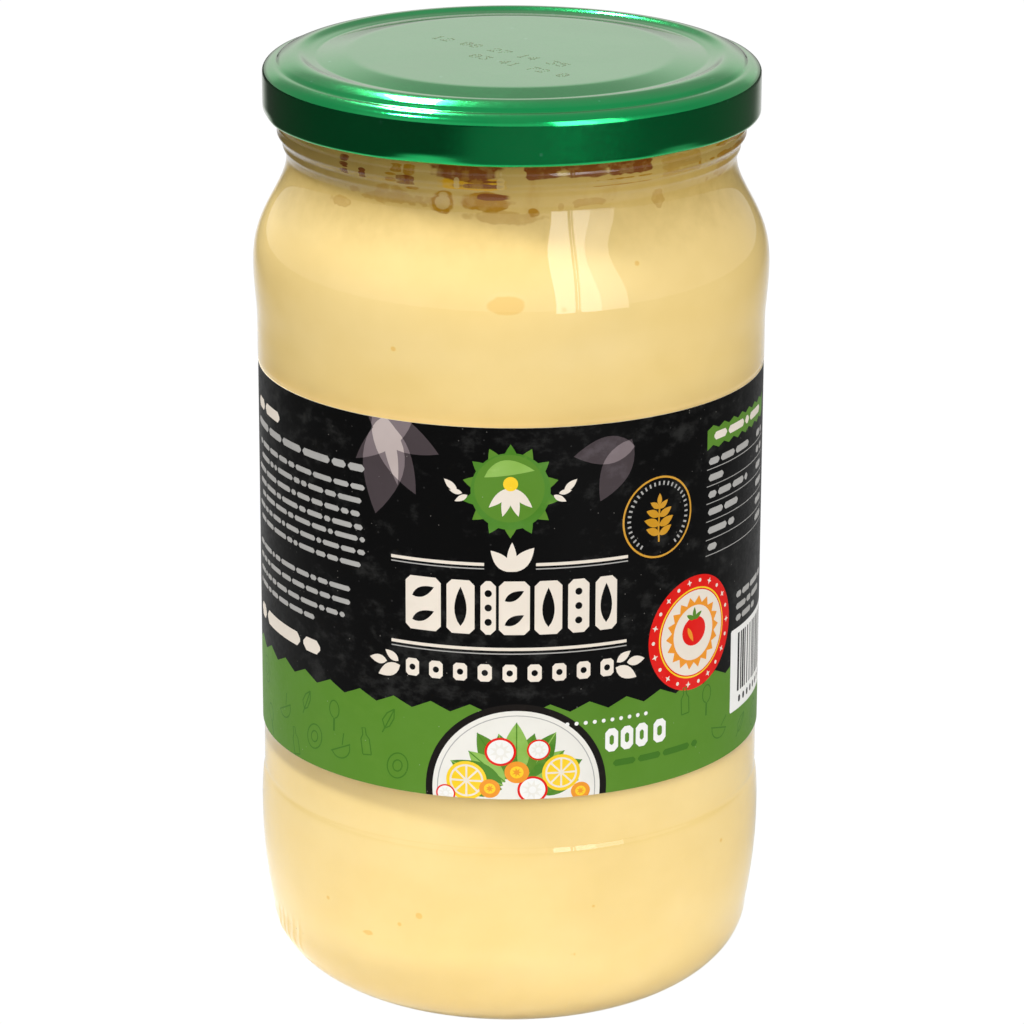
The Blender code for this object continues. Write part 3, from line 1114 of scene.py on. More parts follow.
    def build(self) -> bpy.types.Object:
        """Builds and dresses the jar.

        Returns:
            The jar's piece.
        """
        mouth = [(self.mouth_radius, self.top - 2.4 * MM), (self.mouth_radius, 157.0 * MM)]
        profile = self.outside() + fill_in(mouth, 1.5 * MM) + self.inside()
        made = MeshShop.turn("glass_jar_wall", profile, self.angles, self.shape)
        made.data.materials.append(GlassFinish().material())
        return MeshShop.hang(made, "clear_glass", "glass_jar")


@dataclass
class Filling:
    """The mayonnaise, pressed against the glass, with a slightly uneven top."""

    glass: Glass
    bite: float = 0.15 * MM
    level: float = 158.4 * MM
    plain_below: float = 141.0 * MM
    swell: float = 0.9 * MM

    def shape(self, radius: Grid, angle: Grid, height: Grid) -> tuple[Grid, Grid]:
        """Rolls the top surface.

        Args:
            radius: each point's radius.
            angle: its angle from +X.
            height: its height.

        Returns:
            The new radius and height.
        """
        share = radius / self.glass.mouth_radius
        wave = np.cos(2.0 * angle + 5.0 * share) + 0.6 * np.cos(3.0 * angle - 8.0 * share)
        top = height > self.level - 1.0 * MM
        return radius, height + top * self.swell * wave * share * (1.3 - share)

    def build(self) -> bpy.types.Object:
        """Builds and dresses the filling.

        Returns:
            The filling's piece.
        """
        edge = self.glass.mouth_radius + self.bite
        profile = [(share * edge, self.level) for share in spread(0.0, 0.97, 14)]
        profile.append((edge, self.level - 0.5 * MM))
        profile += self.glass.inside(self.bite)
        made = MeshShop.turn("mayonnaise_filling", profile, columns(240), self.shape)
        finish = FillingFinish()
        made.data.materials.append(finish.material(upper=False))
        made.data.materials.append(finish.material(upper=True))
        for face in made.data.polygons:
            face.material_index = int(face.center.z > self.plain_below)
        return MeshShop.hang(made, "mayonnaise", "mayonnaise")


class Ink(Enum):
    """The printed colours, in the order of the label's material slots."""

    SLATE = 0
    GREEN = auto()
    ICON = auto()
    CREAM = auto()
    GREY = auto()
    LEAF_DARK = auto()
    LEAF_MID = auto()
    LEAF_LIGHT = auto()
    GOLD = auto()
    RED = auto()
    ORANGE = auto()
    YELLOW = auto()
    WHITE = auto()
    BLACK = auto()
    HERB = auto()
    LIME = auto()
    PAPER = auto()


INKS: dict[Ink, InkFinish] = {
    Ink.SLATE: InkFinish((0.0016, 0.0016, 0.0016), (0.040, 0.040, 0.038), 0.5, 0.2),
    Ink.GREEN: InkFinish((0.100, 0.240, 0.026), (0.15, 0.30, 0.04), 0.15),
    Ink.ICON: InkFinish((0.055, 0.17, 0.018), (0.1, 0.2, 0.03), 0.1),
    Ink.CREAM: InkFinish((0.80, 0.72, 0.62), (0.7, 0.62, 0.5), 0.2),
    Ink.GREY: InkFinish((0.42, 0.41, 0.39), (0.25, 0.25, 0.24), 0.3),
    Ink.LEAF_DARK: InkFinish((0.062, 0.048, 0.052), (0.12, 0.1, 0.11), 0.5, 0.15),
    Ink.LEAF_MID: InkFinish((0.20, 0.16, 0.168), (0.3, 0.25, 0.26), 0.4, 0.15),
    Ink.LEAF_LIGHT: InkFinish((0.50, 0.42, 0.40), (0.62, 0.52, 0.48), 0.4, 0.12),
    Ink.GOLD: InkFinish((0.62, 0.31, 0.035), (0.7, 0.42, 0.1), 0.3, 0.12),
    Ink.RED: InkFinish((0.72, 0.015, 0.012), (0.6, 0.03, 0.02), 0.2),
    Ink.ORANGE: InkFinish((0.82, 0.30, 0.03), (0.85, 0.4, 0.06), 0.2),
    Ink.YELLOW: InkFinish((0.90, 0.60, 0.03), (0.9, 0.7, 0.15), 0.2),
    Ink.WHITE: InkFinish((0.86, 0.85, 0.82), (0.75, 0.74, 0.7), 0.15),
    Ink.BLACK: InkFinish((0.010, 0.008, 0.007), (0.05, 0.04, 0.03), 0.2),
    Ink.HERB: InkFinish((0.075, 0.22, 0.025), (0.2, 0.36, 0.06), 0.5, 0.25),
    Ink.LIME: InkFinish((0.26, 0.46, 0.09), (0.4, 0.6, 0.18), 0.4, 0.2),
    Ink.PAPER: InkFinish((0.80, 0.78, 0.72), (0.7, 0.68, 0.6), 0.2),
}


@dataclass
class Field:
    """One closed field of colour on the flat label, in millimetres round and up."""

    ink: Ink
    outline: list[Point]
    glaze: bool = False


class Shapes:
    """Outlines of simple shapes on the flat label."""

    @staticmethod
    def leftward(outline: list[Point]) -> list[Point]:
        """The outline turned so that its inside is on its left."""
        turned = sum(a[0] * b[1] - b[0] * a[1] for a, b in zip(outline, outline[1:] + outline[:1]))
        return outline if turned > 0.0 else outline[::-1]

    @staticmethod
    def off(middle: Point, across: float, up: float) -> Point:
        """The point that lies across and up from another."""
        return (middle[0] + across, middle[1] + up)

    @staticmethod
    def ray(middle: Point, reach: float, around: float) -> Point:
        """The point at a reach and an angle in radians from another."""
        return (middle[0] + reach * math.cos(around), middle[1] + reach * math.sin(around))

    @staticmethod
    def disc(middle: Point, radius: float, count: int = 40, tall: float = 1.0) -> list[Point]:
        """A round or oval outline.

        Args:
            middle: its middle.
            radius: half its width.
            count: how many points it has.
            tall: its height as a share of its width.

        Returns:
            The closed outline.
        """
        made = []
        for step in range(count):
            around = 2.0 * math.pi * step / count
            made.append((middle[0] + radius * math.cos(around), middle[1] + radius * tall * math.sin(around)))
        return made

    @staticmethod
    def bar(left: float, right: float, low: float, high: float, corner: float = 0.3) -> list[Point]:
        """A bar with cut corners.

        Args:
            left: its left end.
            right: its right end.
            low: its bottom.
            high: its top.
            corner: how much of each corner is cut, where there is room.

        Returns:
            The closed outline.
        """
        cut = min(corner, (right - left) / 2.1, (high - low) / 2.1)
        return [
            (left + cut, low), (right - cut, low), (right, low + cut), (right, high - cut),
            (right - cut, high), (left + cut, high), (left, high - cut), (left, low + cut),
        ]

    @staticmethod
    def leaf(base: Point, tip: Point, left: float, right: float, count: int = 10) -> list[Point]:
        """A pointed leaf from its base to its tip.

        Args:
            base: where it starts.
            tip: where it ends.
            left: how far it bulges to the left of that line, as a share of its length.
            right: how far it bulges to the right.
            count: points on each side.

        Returns:
            The closed outline.
        """
        along = Vector(tip) - Vector(base)
        side = Vector((-along.y, along.x))
        made = []
        for bulge, shares in ((right, spread(0.0, 1.0, count)[:-1]), (-left, spread(1.0, 0.0, count)[:-1])):
            for share in shares:
                swell = math.sin(math.pi * share**0.85) ** 0.9 if 0.0 < share < 1.0 else 0.0
                point = Vector(base) + along * share - side * bulge * swell
                made.append((point.x, point.y))
        return made

    @staticmethod
    def stroke(points: Sequence[Point], width: float) -> list[Point]:
        """A line of some width through points.

        Args:
            points: the points.
            width: the line's width.

        Returns:
            The closed outline.
        """
        left, right = [], []
        for index, (x, y) in enumerate(points):
            before = points[max(index - 1, 0)]
            after = points[min(index + 1, len(points) - 1)]
            along = Vector((after[0] - before[0], after[1] - before[1])).normalized()
            left.append((x - along.y * width / 2.0, y + along.x * width / 2.0))
            right.append((x + along.y * width / 2.0, y - along.x * width / 2.0))
        return left + right[::-1]

    @staticmethod
    def arc(
        middle: Point, radius: float, start: float, end: float, count: int = 16, tall: float = 1.0
    ) -> list[Point]:
        """Points along an arc.

        Args:
            middle: the arc's middle.
            radius: half its width.
            start: the angle of its start, in degrees.
            end: the angle of its end, in degrees.
            count: how many points it has.
            tall: its height as a share of its width.

        Returns:
            The points.
        """
        made = []
        for degrees in spread(start, end, count):
            around = math.radians(degrees)
            made.append((middle[0] + radius * math.cos(around), middle[1] + radius * tall * math.sin(around)))
        return made

    @staticmethod
    def burst(middle: Point, outer: float, inner: float, points: int, turn: float = 0.0) -> list[Point]:
        """A star.

        Args:
            middle: its middle.
            outer: the reach of its points.
            inner: the reach of the notches between them.
            points: how many points it has.
            turn: its turn in radians.

        Returns:
            The closed outline.
        """
        made = []
        for step in range(points * 2):
            made.append(Shapes.ray(middle, inner if step % 2 else outer, math.pi * step / points + turn))
        return made


@dataclass
class LabelPrint:
    """What is printed on the label, as fields of colour laid one over another."""

    height: float = 65.9
    half_round: float = 138.4
    zigzag_pitch: float = 6.83
    zigzag_low: float = 15.45
    zigzag_high: float = 17.0
    rosette_at: Point = (0.0, 54.9)
    gold_ring_at: Point = (26.6, 48.0)
    seal_at: Point = (35.0, 25.5)
    plate_at: Point = (1.15, 1.5)
    bar_lengths: Pair = (1.2, 6.0)
    bar_gap: float = 0.42
    fields: list[Field] = field(default_factory=list)

    def lay(self, ink: Ink, outline: list[Point], glaze: bool = False) -> None:
        """Lays one field over those already there."""
        self.fields.append(Field(ink, outline, glaze))

    def ring(self, ink: Ink, middle: Point, radius: float, width: float) -> None:
        """Lays a thin ring in two halves.

        Args:
            ink: its colour.
            middle: its middle.
            radius: its outer radius.
            width: its width.
        """
        for low, high in ((0.0, 180.0), (180.0, 360.0)):
            outer = Shapes.arc(middle, radius, low, high, 33)
            inner = Shapes.arc(middle, radius - width, high, low, 33)
            self.lay(ink, outer + inner)

    def bars(self, ink: Ink, left: float, right: float, low: float, high: float, seed: int) -> None:
        """Lays a row of plain bars of mixed lengths.

        Args:
            ink: the bars' colour.
            left: the row's left end.
            right: its right end.
            low: its bottom.
            high: its top.
            seed: picks the bars' lengths.
        """
        draw = random.Random(seed)
        at, size = left, high - low
        while at < right - size:
            length = size * draw.uniform(*self.bar_lengths)
            end = min(at + length, right)
            self.lay(ink, Shapes.bar(at, end, low, high, size * 0.38))
            at = end + size * self.bar_gap

    def backdrop(self) -> None:
        """The dark slate ground and the green band with its toothed upper edge."""
        edge = self.half_round + 14.0
        self.lay(Ink.SLATE, [(-edge, 0.0), (edge, 0.0), (edge, self.height), (-edge, self.height)])
        tooth = []
        at = -6.8 - self.zigzag_pitch * 20.0
        while at < edge + self.zigzag_pitch:
            tooth.append((at - self.zigzag_pitch / 2.0, self.zigzag_low))
            tooth.append((at, self.zigzag_high))
            at += self.zigzag_pitch
        left, right = tooth[0][0], tooth[-1][0]
        self.lay(Ink.GREEN, [(left, -1.0), (right, -1.0)] + tooth[::-1])

    def foliage(self) -> None:
        """Grey see-through leaves at the top, lighter where they overlap."""
        leaves = (
            ((-25.5, 67.5), (-12.1, 60.8), 0.16, 0.24),
            ((-21.9, 66.5), (-23.8, 49.0), 0.26, 0.20),
            ((-24.3, 66.5), (-16.2, 53.4), 0.20, 0.17),
            ((-21.9, 65.8), (-19.5, 54.6), 0.10, 0.10),
            ((-16.5, 67.5), (-27.8, 58.0), 0.16, 0.16),
            ((21.6, 61.3), (10.6, 60.6), 0.20, 0.24),
            ((21.0, 62.6), (15.3, 52.4), 0.22, 0.24),
        )
        for base, tip, left, right in leaves:
            self.lay(Ink.LEAF_DARK, Shapes.leaf(base, tip, left, right, 12), glaze=True)

    def rosette(self) -> None:
        """A green rosette with a lighter middle and a few leaf ribs, with a sprig on either side."""
        middle = self.rosette_at
        for step in range(14):
            tip = Shapes.ray(middle, 8.2, 2.0 * math.pi * (step + 0.5) / 14.0)
            self.lay(Ink.HERB if step % 2 else Ink.GREEN, Shapes.leaf(middle, tip, 0.22, 0.22, 10))
        self.lay(Ink.HERB, Shapes.disc(middle, 6.7, 48))
        self.lay(Ink.GREEN, Shapes.disc(Shapes.off(middle, -0.2, 0.5), 5.9, 44))
        base, tip = Shapes.off(middle, -4.4, 2.4), Shapes.off(middle, 4.0, 3.6)
        self.lay(Ink.LIME, Shapes.leaf(base, tip, 0.30, 0.02, 12))
        for turn in (-52.0, -17.0, 17.0, 52.0):
            tip = Shapes.ray(middle, 4.6, math.radians(turn - 90.0))
            self.lay(Ink.CREAM, Shapes.leaf(Shapes.off(middle, 0.0, 0.6), tip, 0.16, 0.16, 10))
        self.lay(Ink.YELLOW, Shapes.disc(Shapes.off(middle, 0.0, 1.3), 1.25, 24))
        for side in (-1.0, 1.0):
            for step, lift in enumerate((-1.1, 0.2, 1.5)):
                base = (side * (7.2 + 0.9 * step), 54.1 + 0.3 * step)
                tip = (side * (9.4 + 0.9 * step), 54.0 + lift + 0.6 * step)
                self.lay(Ink.CREAM, Shapes.leaf(base, tip, 0.2, 0.2, 8))

    def lemon(self, middle: Point, radius: float) -> None:
        """Lays a slice of lemon with eight segments.

        Args:
            middle: its middle.
            radius: its radius.
        """
        self.lay(Ink.YELLOW, Shapes.disc(middle, radius, 36))
        self.lay(Ink.CREAM, Shapes.disc(middle, radius * 0.86, 36))
        for step in range(8):
            start = step * 45.0 + 4.0
            outline = Shapes.arc(middle, radius * 0.76, start, start + 37.0, 8)
            inner = Shapes.arc(middle, radius * 0.12, start + 18.5, start + 18.5, 2)[:1]
            self.lay(Ink.YELLOW, outline + inner)

    def rules(self) -> None:
        """The cream rules above and under the tiles, with a sprig between."""
        for left, right in ((-20.8, -4.4), (4.3, 20.5)):
            self.lay(Ink.CREAM, Shapes.bar(left, right, 41.75, 42.3, 0.05))
            self.lay(Ink.GREY, Shapes.bar(left, right, 41.15, 41.35, 0.02))
        self.lay(Ink.CREAM, Shapes.leaf((0.2, 40.8), (-3.3, 44.5), 0.22, 0.22))
        self.lay(Ink.CREAM, Shapes.leaf((0.2, 40.8), (4.0, 45.0), 0.22, 0.22))
        self.lay(Ink.CREAM, Shapes.leaf((0.2, 41.0), (0.3, 46.0), 0.16, 0.16))
        self.lay(Ink.CREAM, Shapes.bar(-20.8, 20.4, 26.75, 27.3, 0.05))
        self.lay(Ink.GREY, Shapes.bar(-20.8, 20.4, 26.1, 26.3, 0.02))

    def tiles(self) -> None:
        """A row of cream tiles, each with a leaf, a drop or rounds cut out, over a row of small ones."""
        tiles = (
            (-18.1, -11.8), (-10.8, -6.0), (-5.0, -2.4), (-1.9, 3.3), (4.1, 8.8), (9.8, 13.5), (14.6, 18.5),
        )
        for number, (left, right) in enumerate(tiles):
            self.lay(Ink.CREAM, Shapes.bar(left, right, 29.6, 39.1, 0.9))
            middle, half = (left + right) / 2.0, (right - left) / 2.0
            if number in (0, 3):
                for lift in (32.2, 36.5):
                    base, tip = (middle - half * 0.62, lift - 0.9), (middle + half * 0.62, lift + 0.9)
                    self.lay(Ink.SLATE, Shapes.leaf(base, tip, 0.2, 0.2))
            elif number in (1, 4, 6):
                self.lay(Ink.SLATE, Shapes.leaf((middle, 30.9), (middle, 37.9), 0.15, 0.15))
            else:
                for lift in (31.8, 34.35, 36.9):
                    self.lay(Ink.SLATE, Shapes.disc((middle, lift), 0.62, 18))
        for left, right in zip(spread(-18.1, 15.6, 9), spread(-15.3, 18.4, 9)):
            self.lay(Ink.CREAM, Shapes.bar(left, right - 0.4, 21.2, 24.3, 0.5))
            self.lay(Ink.SLATE, Shapes.disc(((left + right - 0.4) / 2.0, 22.75), 0.55, 16))
        leaves = (
            ((-25.1, 23.3), (-21.7, 23.1)), ((-22.0, 25.1), (-19.5, 23.4)), ((-23.4, 20.5), (-19.2, 22.7)),
            ((24.0, 23.3), (20.5, 23.1)), ((21.2, 25.1), (18.6, 23.4)), ((22.4, 20.2), (18.4, 22.5)),
        )
        for tip, base in leaves:
            self.lay(Ink.CREAM, Shapes.leaf(base, tip, 0.24, 0.24, 8))

    def left_column(self) -> None:
        """Rows of plain bars at the left."""
        self.bars(Ink.CREAM, -61.6, -48.4, 59.0, 60.9, 3)
        rows = (
            (56.4, 1.3), (53.0, 0.95), (50.6, 0.95), (48.2, 0.95),
            (45.9, 0.95), (43.8, 0.9), (41.5, 0.9), (39.2, 0.9),
        )
        for number, (middle, size) in enumerate(rows):
            left, half = -62.0 + (number % 3) * 1.1, size / 2.0
            self.bars(Ink.GREY, left, -26.0, middle - half, middle + half, 20 + number)
        for number, middle in enumerate((34.4, 32.0, 29.5, 27.2)):
            right = -37.0 if number == 3 else -28.0 - number
            self.bars(Ink.GREY, -62.0, right, middle - 0.45, middle + 0.45, 40 + number)
        self.bars(Ink.CREAM, -62.0, -35.0, 20.6, 23.1, 55)

    def gold_ring(self) -> None:
        """A gold ring round a small sprig."""
        middle = self.gold_ring_at
        self.ring(Ink.GOLD, middle, 7.2, 0.35)
        for step in range(40):
            around = step * 9.0
            if not 235.0 < around < 305.0:
                inner = Shapes.arc(middle, 5.6, around, around, 2)[0]
                outer = Shapes.arc(middle, 6.3, around, around, 2)[0]
                self.lay(Ink.GREY, Shapes.stroke([inner, outer], 0.32))
        self.lay(Ink.GOLD, Shapes.stroke([(26.6, 43.6), (26.5, 46.0), (26.7, 50.4)], 0.34))
        for lift, reach in ((44.9, 2.6), (46.5, 3.0), (48.1, 2.6), (49.5, 1.8)):
            for side in (-1.0, 1.0):
                tip = (26.6 + side * reach, lift + 1.3)
                self.lay(Ink.GOLD, Shapes.leaf((26.6, lift), tip, 0.2, 0.26, 9))
        self.lay(Ink.GOLD, Shapes.leaf((26.65, 50.0), (26.7, 52.2), 0.22, 0.22, 8))

    def seal(self) -> None:
        """A round red seal with a berry in a sunburst and sparkles round it."""
        middle = self.seal_at
        self.lay(Ink.RED, Shapes.disc(middle, 10.25, 72))
        self.ring(Ink.YELLOW, middle, 8.1, 0.28)
        self.lay(Ink.CREAM, Shapes.disc(middle, 7.6, 60))
        for step in range(22):
            around = step * 360.0 / 22.0
            spot = Shapes.arc(middle, 9.25, around, around, 2)[0]
            if step % 2:
                self.lay(Ink.CREAM, Shapes.disc(spot, 0.34, 12))
            else:
                self.lay(Ink.CREAM, Shapes.burst(spot, 0.62, 0.24, 4, math.radians(around)))
        self.lay(Ink.ORANGE, Shapes.burst(middle, 6.6, 5.4, 18))
        self.lay(Ink.CREAM, Shapes.disc(middle, 4.9, 40))
        self.lay(Ink.RED, Shapes.disc(Shapes.off(middle, 0.0, 0.3), 2.9, 30, 0.9))
        for side in (-1.0, 0.0, 1.0):
            tip = (middle[0] + side * 1.9, middle[1] + 4.6 - abs(side) * 1.1)
            self.lay(Ink.GREEN, Shapes.leaf(Shapes.off(middle, 0.0, 2.4), tip, 0.2, 0.2, 8))
        base, tip = Shapes.off(middle, -1.6, 1.2), Shapes.off(middle, -0.2, -1.6)
        self.lay(Ink.ORANGE, Shapes.leaf(base, tip, 0.14, 0.14, 8))

    def table(self) -> None:
        """The toothed green heading and the ruled table at the right."""
        top, bottom = [], []
        for step, at in enumerate(spread(37.7, 62.0, 16)):
            lift = 0.35 if step % 2 else -0.35
            top.append((at, 61.2 + lift))
            bottom.append((at, 57.7 + lift))
        self.lay(Ink.GREEN, bottom + top[::-1])
        self.bars(Ink.CREAM, 39.6, 59.0, 58.8, 60.2, 71)
        for lift in (53.9, 50.9, 47.8, 44.6, 41.3, 38.5):
            self.lay(Ink.GREY, Shapes.bar(37.7, 62.5, lift - 0.07, lift + 0.07, 0.02))
        rows = ((55.2, 53.6), (52.3, 42.9), (49.3, 52.0), (46.2, 47.8), (42.9, 46.6), (39.9, 42.4))
        for number, (lift, right) in enumerate(rows):
            self.bars(Ink.GREY, 38.2, right, lift - 0.6, lift + 0.6, 80 + number)
            self.bars(Ink.GREY, 57.0, 61.6, lift - 0.6, lift + 0.6, 90 + number)
        for number, lift in enumerate((28.6, 26.4, 24.3)):
            self.bars(Ink.GREY, 48.0, 63.0 - number * 2.0, lift - 0.55, lift + 0.55, 100 + number)

    def stripes_panel(self) -> None:
        """A white panel of upright stripes with short ticks under them."""
        self.lay(Ink.WHITE, Shapes.bar(46.2, 76.0, 7.3, 22.5, 0.3))
        draw = random.Random(12)
        at = 49.0
        while at < 73.5:
            width = draw.choice((0.26, 0.26, 0.52, 0.78))
            self.lay(Ink.BLACK, Shapes.bar(at, at + width, 10.6, 21.4, 0.02))
            at += width + draw.choice((0.3, 0.3, 0.55, 0.8))
        for step in range(12):
            at = 49.6 + step * 2.0
            self.lay(Ink.BLACK, Shapes.bar(at, at + 0.9, 8.4, 9.7, 0.3))

    def plate(self) -> None:
        """A dark-rimmed plate of lemon, radish and carrot rounds on herbs, cut by the label's edge."""
        middle = self.plate_at
        self.lay(Ink.BLACK, Shapes.disc(middle, 15.7, 90))
        self.lay(Ink.PAPER, Shapes.disc(middle, 14.5, 90))
        self.ring(Ink.GREY, middle, 13.7, 0.18)
        for step in range(11):
            around = math.radians(8.0 + step * 16.4)
            reach = 12.4 if step % 2 else 10.8
            tip, base = Shapes.ray(middle, reach, around), Shapes.ray(middle, 2.5, around)
            self.lay((Ink.HERB, Ink.GREEN, Ink.LIME)[step % 3], Shapes.leaf(base, tip, 0.24, 0.22, 12))
            self.lay(Ink.LIME if step % 3 == 0 else Ink.HERB, Shapes.stroke([base, tip], 0.22))
        for spot, size in (((-7.4, 3.2), 3.5), ((8.8, 4.6), 3.3)):
            self.lay(Ink.YELLOW, Shapes.disc(spot, size, 40))
            self.lemon(spot, size * 0.97)
        for spot, size in (((-1.6, 8.6), 2.7), ((4.9, 8.9), 2.0), ((-11.0, 0.6), 1.7), ((3.9, 1.7), 2.6)):
            self.radish(spot, size)
        for spot, size in (((1.2, 4.9), 2.1), ((-3.4, 1.9), 1.8), ((12.2, 1.0), 1.7)):
            self.lay(Ink.ORANGE, Shapes.disc(spot, size, 30, 0.94))
            self.lay(Ink.YELLOW, Shapes.disc(spot, size * 0.55, 20, 0.94))
            self.lay(Ink.ORANGE, Shapes.burst(spot, size * 0.42, size * 0.18, 7))

    def radish(self, middle: Point, size: float) -> None:
        """Lays a round of radish, white with a red skin and pale rays.

        Args:
            middle: its middle.
            size: its radius.
        """
        self.lay(Ink.RED, Shapes.disc(middle, size, 36, 0.95))
        self.lay(Ink.WHITE, Shapes.disc(middle, size * 0.84, 32, 0.95))
        self.lay(Ink.PAPER, Shapes.burst(middle, size * 0.70, size * 0.34, 9))
        self.lay(Ink.WHITE, Shapes.disc(middle, size * 0.24, 14))

    def dots_and_blocks(self) -> None:
        """A row of dots over a row of blocks at the right of the plate."""
        for step in range(10):
            self.lay(Ink.WHITE, Shapes.disc((9.8 + 1.62 * step, 13.2), 0.36, 14))
        for left, right in ((16.6, 19.0), (19.5, 21.9), (22.4, 24.8), (26.0, 28.6)):
            self.lay(Ink.WHITE, Shapes.bar(left, right, 7.4, 11.6, 0.7))
            self.lay(Ink.GREEN, Shapes.bar(left + 0.8, right - 0.8, 8.6, 10.4, 0.3))
        self.bars(Ink.ICON, 18.1, 36.2, 4.6, 5.8, 61)

    def band_icons(self) -> None:
        """Thin line drawings of kitchen things on the green band."""
        draw = random.Random(5)
        places = (
            (-66.0, 9.0), (-58.0, 11.5), (-55.0, 3.2), (-48.0, 7.2), (-44.3, 2.8), (-40.6, 11.0),
            (-38.4, 5.4), (-33.2, 10.6), (-31.5, 4.6), (-26.2, 7.6), (-21.5, 12.2), (-19.8, 4.4),
            (38.6, 12.2), (42.4, 5.4), (33.0, 13.6), (50.8, 3.9), (58.5, 3.6), (66.0, 4.0), (79.5, 9.0),
        )
        for number, (across, up) in enumerate(places):
            self.icon(number % 5, (across, up), draw.uniform(-0.5, 0.5))
        for step in range(14):
            self.icon(step % 5, (-128.0 + step * 4.4, 4.4 if step % 2 else 10.4), draw.uniform(-0.5, 0.5))
            self.icon((step + 2) % 5, (86.0 + step * 3.9, 10.4 if step % 2 else 4.4), draw.uniform(-0.5, 0.5))

    def icon(self, kind: int, spot: Point, turn: float) -> None:
        """Lays one line drawing.

        Args:
            kind: 0 a leaf, 1 an egg, 2 a whisk, 3 a bowl, 4 a bottle.
            spot: its middle.
            turn: how far it leans, in radians.
        """
        cos, sin = math.cos(turn), math.sin(turn)

        def line(points: Sequence[Point], width: float = 0.26) -> None:
            """Lays a line of some width through points that are turned about the spot."""
            turned = [(spot[0] + a * cos - b * sin, spot[1] + a * sin + b * cos) for a, b in points]
            self.lay(Ink.ICON, Shapes.stroke(turned, width))

        if kind == 0:
            line([(-2.0, -1.6), (0.0, 0.0), (2.0, 1.7)])
            for bulge in (0.9, -0.9):
                low = (-0.6 - bulge * 0.5, -0.2 + bulge * 0.8)
                high = (0.8 - bulge * 0.5, 0.8 + bulge * 0.7)
                line([(-1.2, -1.0), low, high, (2.0, 1.7)])
        elif kind == 1:
            for scale in (1.9, 0.85):
                line(Shapes.arc((0.0, 0.0), scale, 0.0, 358.0, 24, 1.25))
        elif kind == 2:
            line([(0.0, -2.8), (0.0, -0.4)], 0.45)
            for wide in (0.45, 1.15):
                line(Shapes.arc((0.0, 1.2), wide, -80.0, 260.0, 18, 1.6 / wide))
        elif kind == 3:
            line(Shapes.arc((0.0, 0.6), 2.2, 180.0, 360.0, 16, 0.85))
            line([(-2.5, 0.6), (2.5, 0.6)])
            line([(0.6, 0.9), (1.9, 2.8)])
        else:
            half = [(-0.9, -2.4), (-0.9, 0.4), (-0.35, 1.2), (-0.35, 2.4)]
            line(half + [(-across, up) for across, up in reversed(half)])
            line([(-0.9, -2.4), (0.9, -2.4)])

    def back_panel(self) -> None:
        """Plain rows of bars and leaves on the label's hidden sides."""
        for number in range(9):
            lift = 57.0 - number * 3.6
            self.bars(Ink.GREY, -104.0, -74.0 - (number % 3) * 2.0, lift - 0.65, lift + 0.65, 120 + number)
            self.bars(Ink.GREY, 80.0, 112.0 - (number % 4) * 2.5, lift - 0.65, lift + 0.65, 140 + number)
        for across in (-122.0, -114.0, 120.0, 128.0):
            for side in (-1.0, 1.0):
                for step in range(4):
                    base, tip = (across, 26.0 + step * 5.5), (across + side * 3.6, 30.5 + step * 5.5)
                    self.lay(Ink.LEAF_MID, Shapes.leaf(base, tip, 0.2, 0.2, 8))

    def draw(self) -> list[Field]:
        """Lays every field of the print.

        Returns:
            The fields, the lowest first.
        """
        for step in (
            self.backdrop, self.foliage, self.left_column, self.rosette, self.rules, self.tiles,
            self.gold_ring, self.table, self.seal, self.band_icons, self.stripes_panel, self.plate,
            self.dots_and_blocks, self.back_panel,
        ):
            step()
        return self.fields


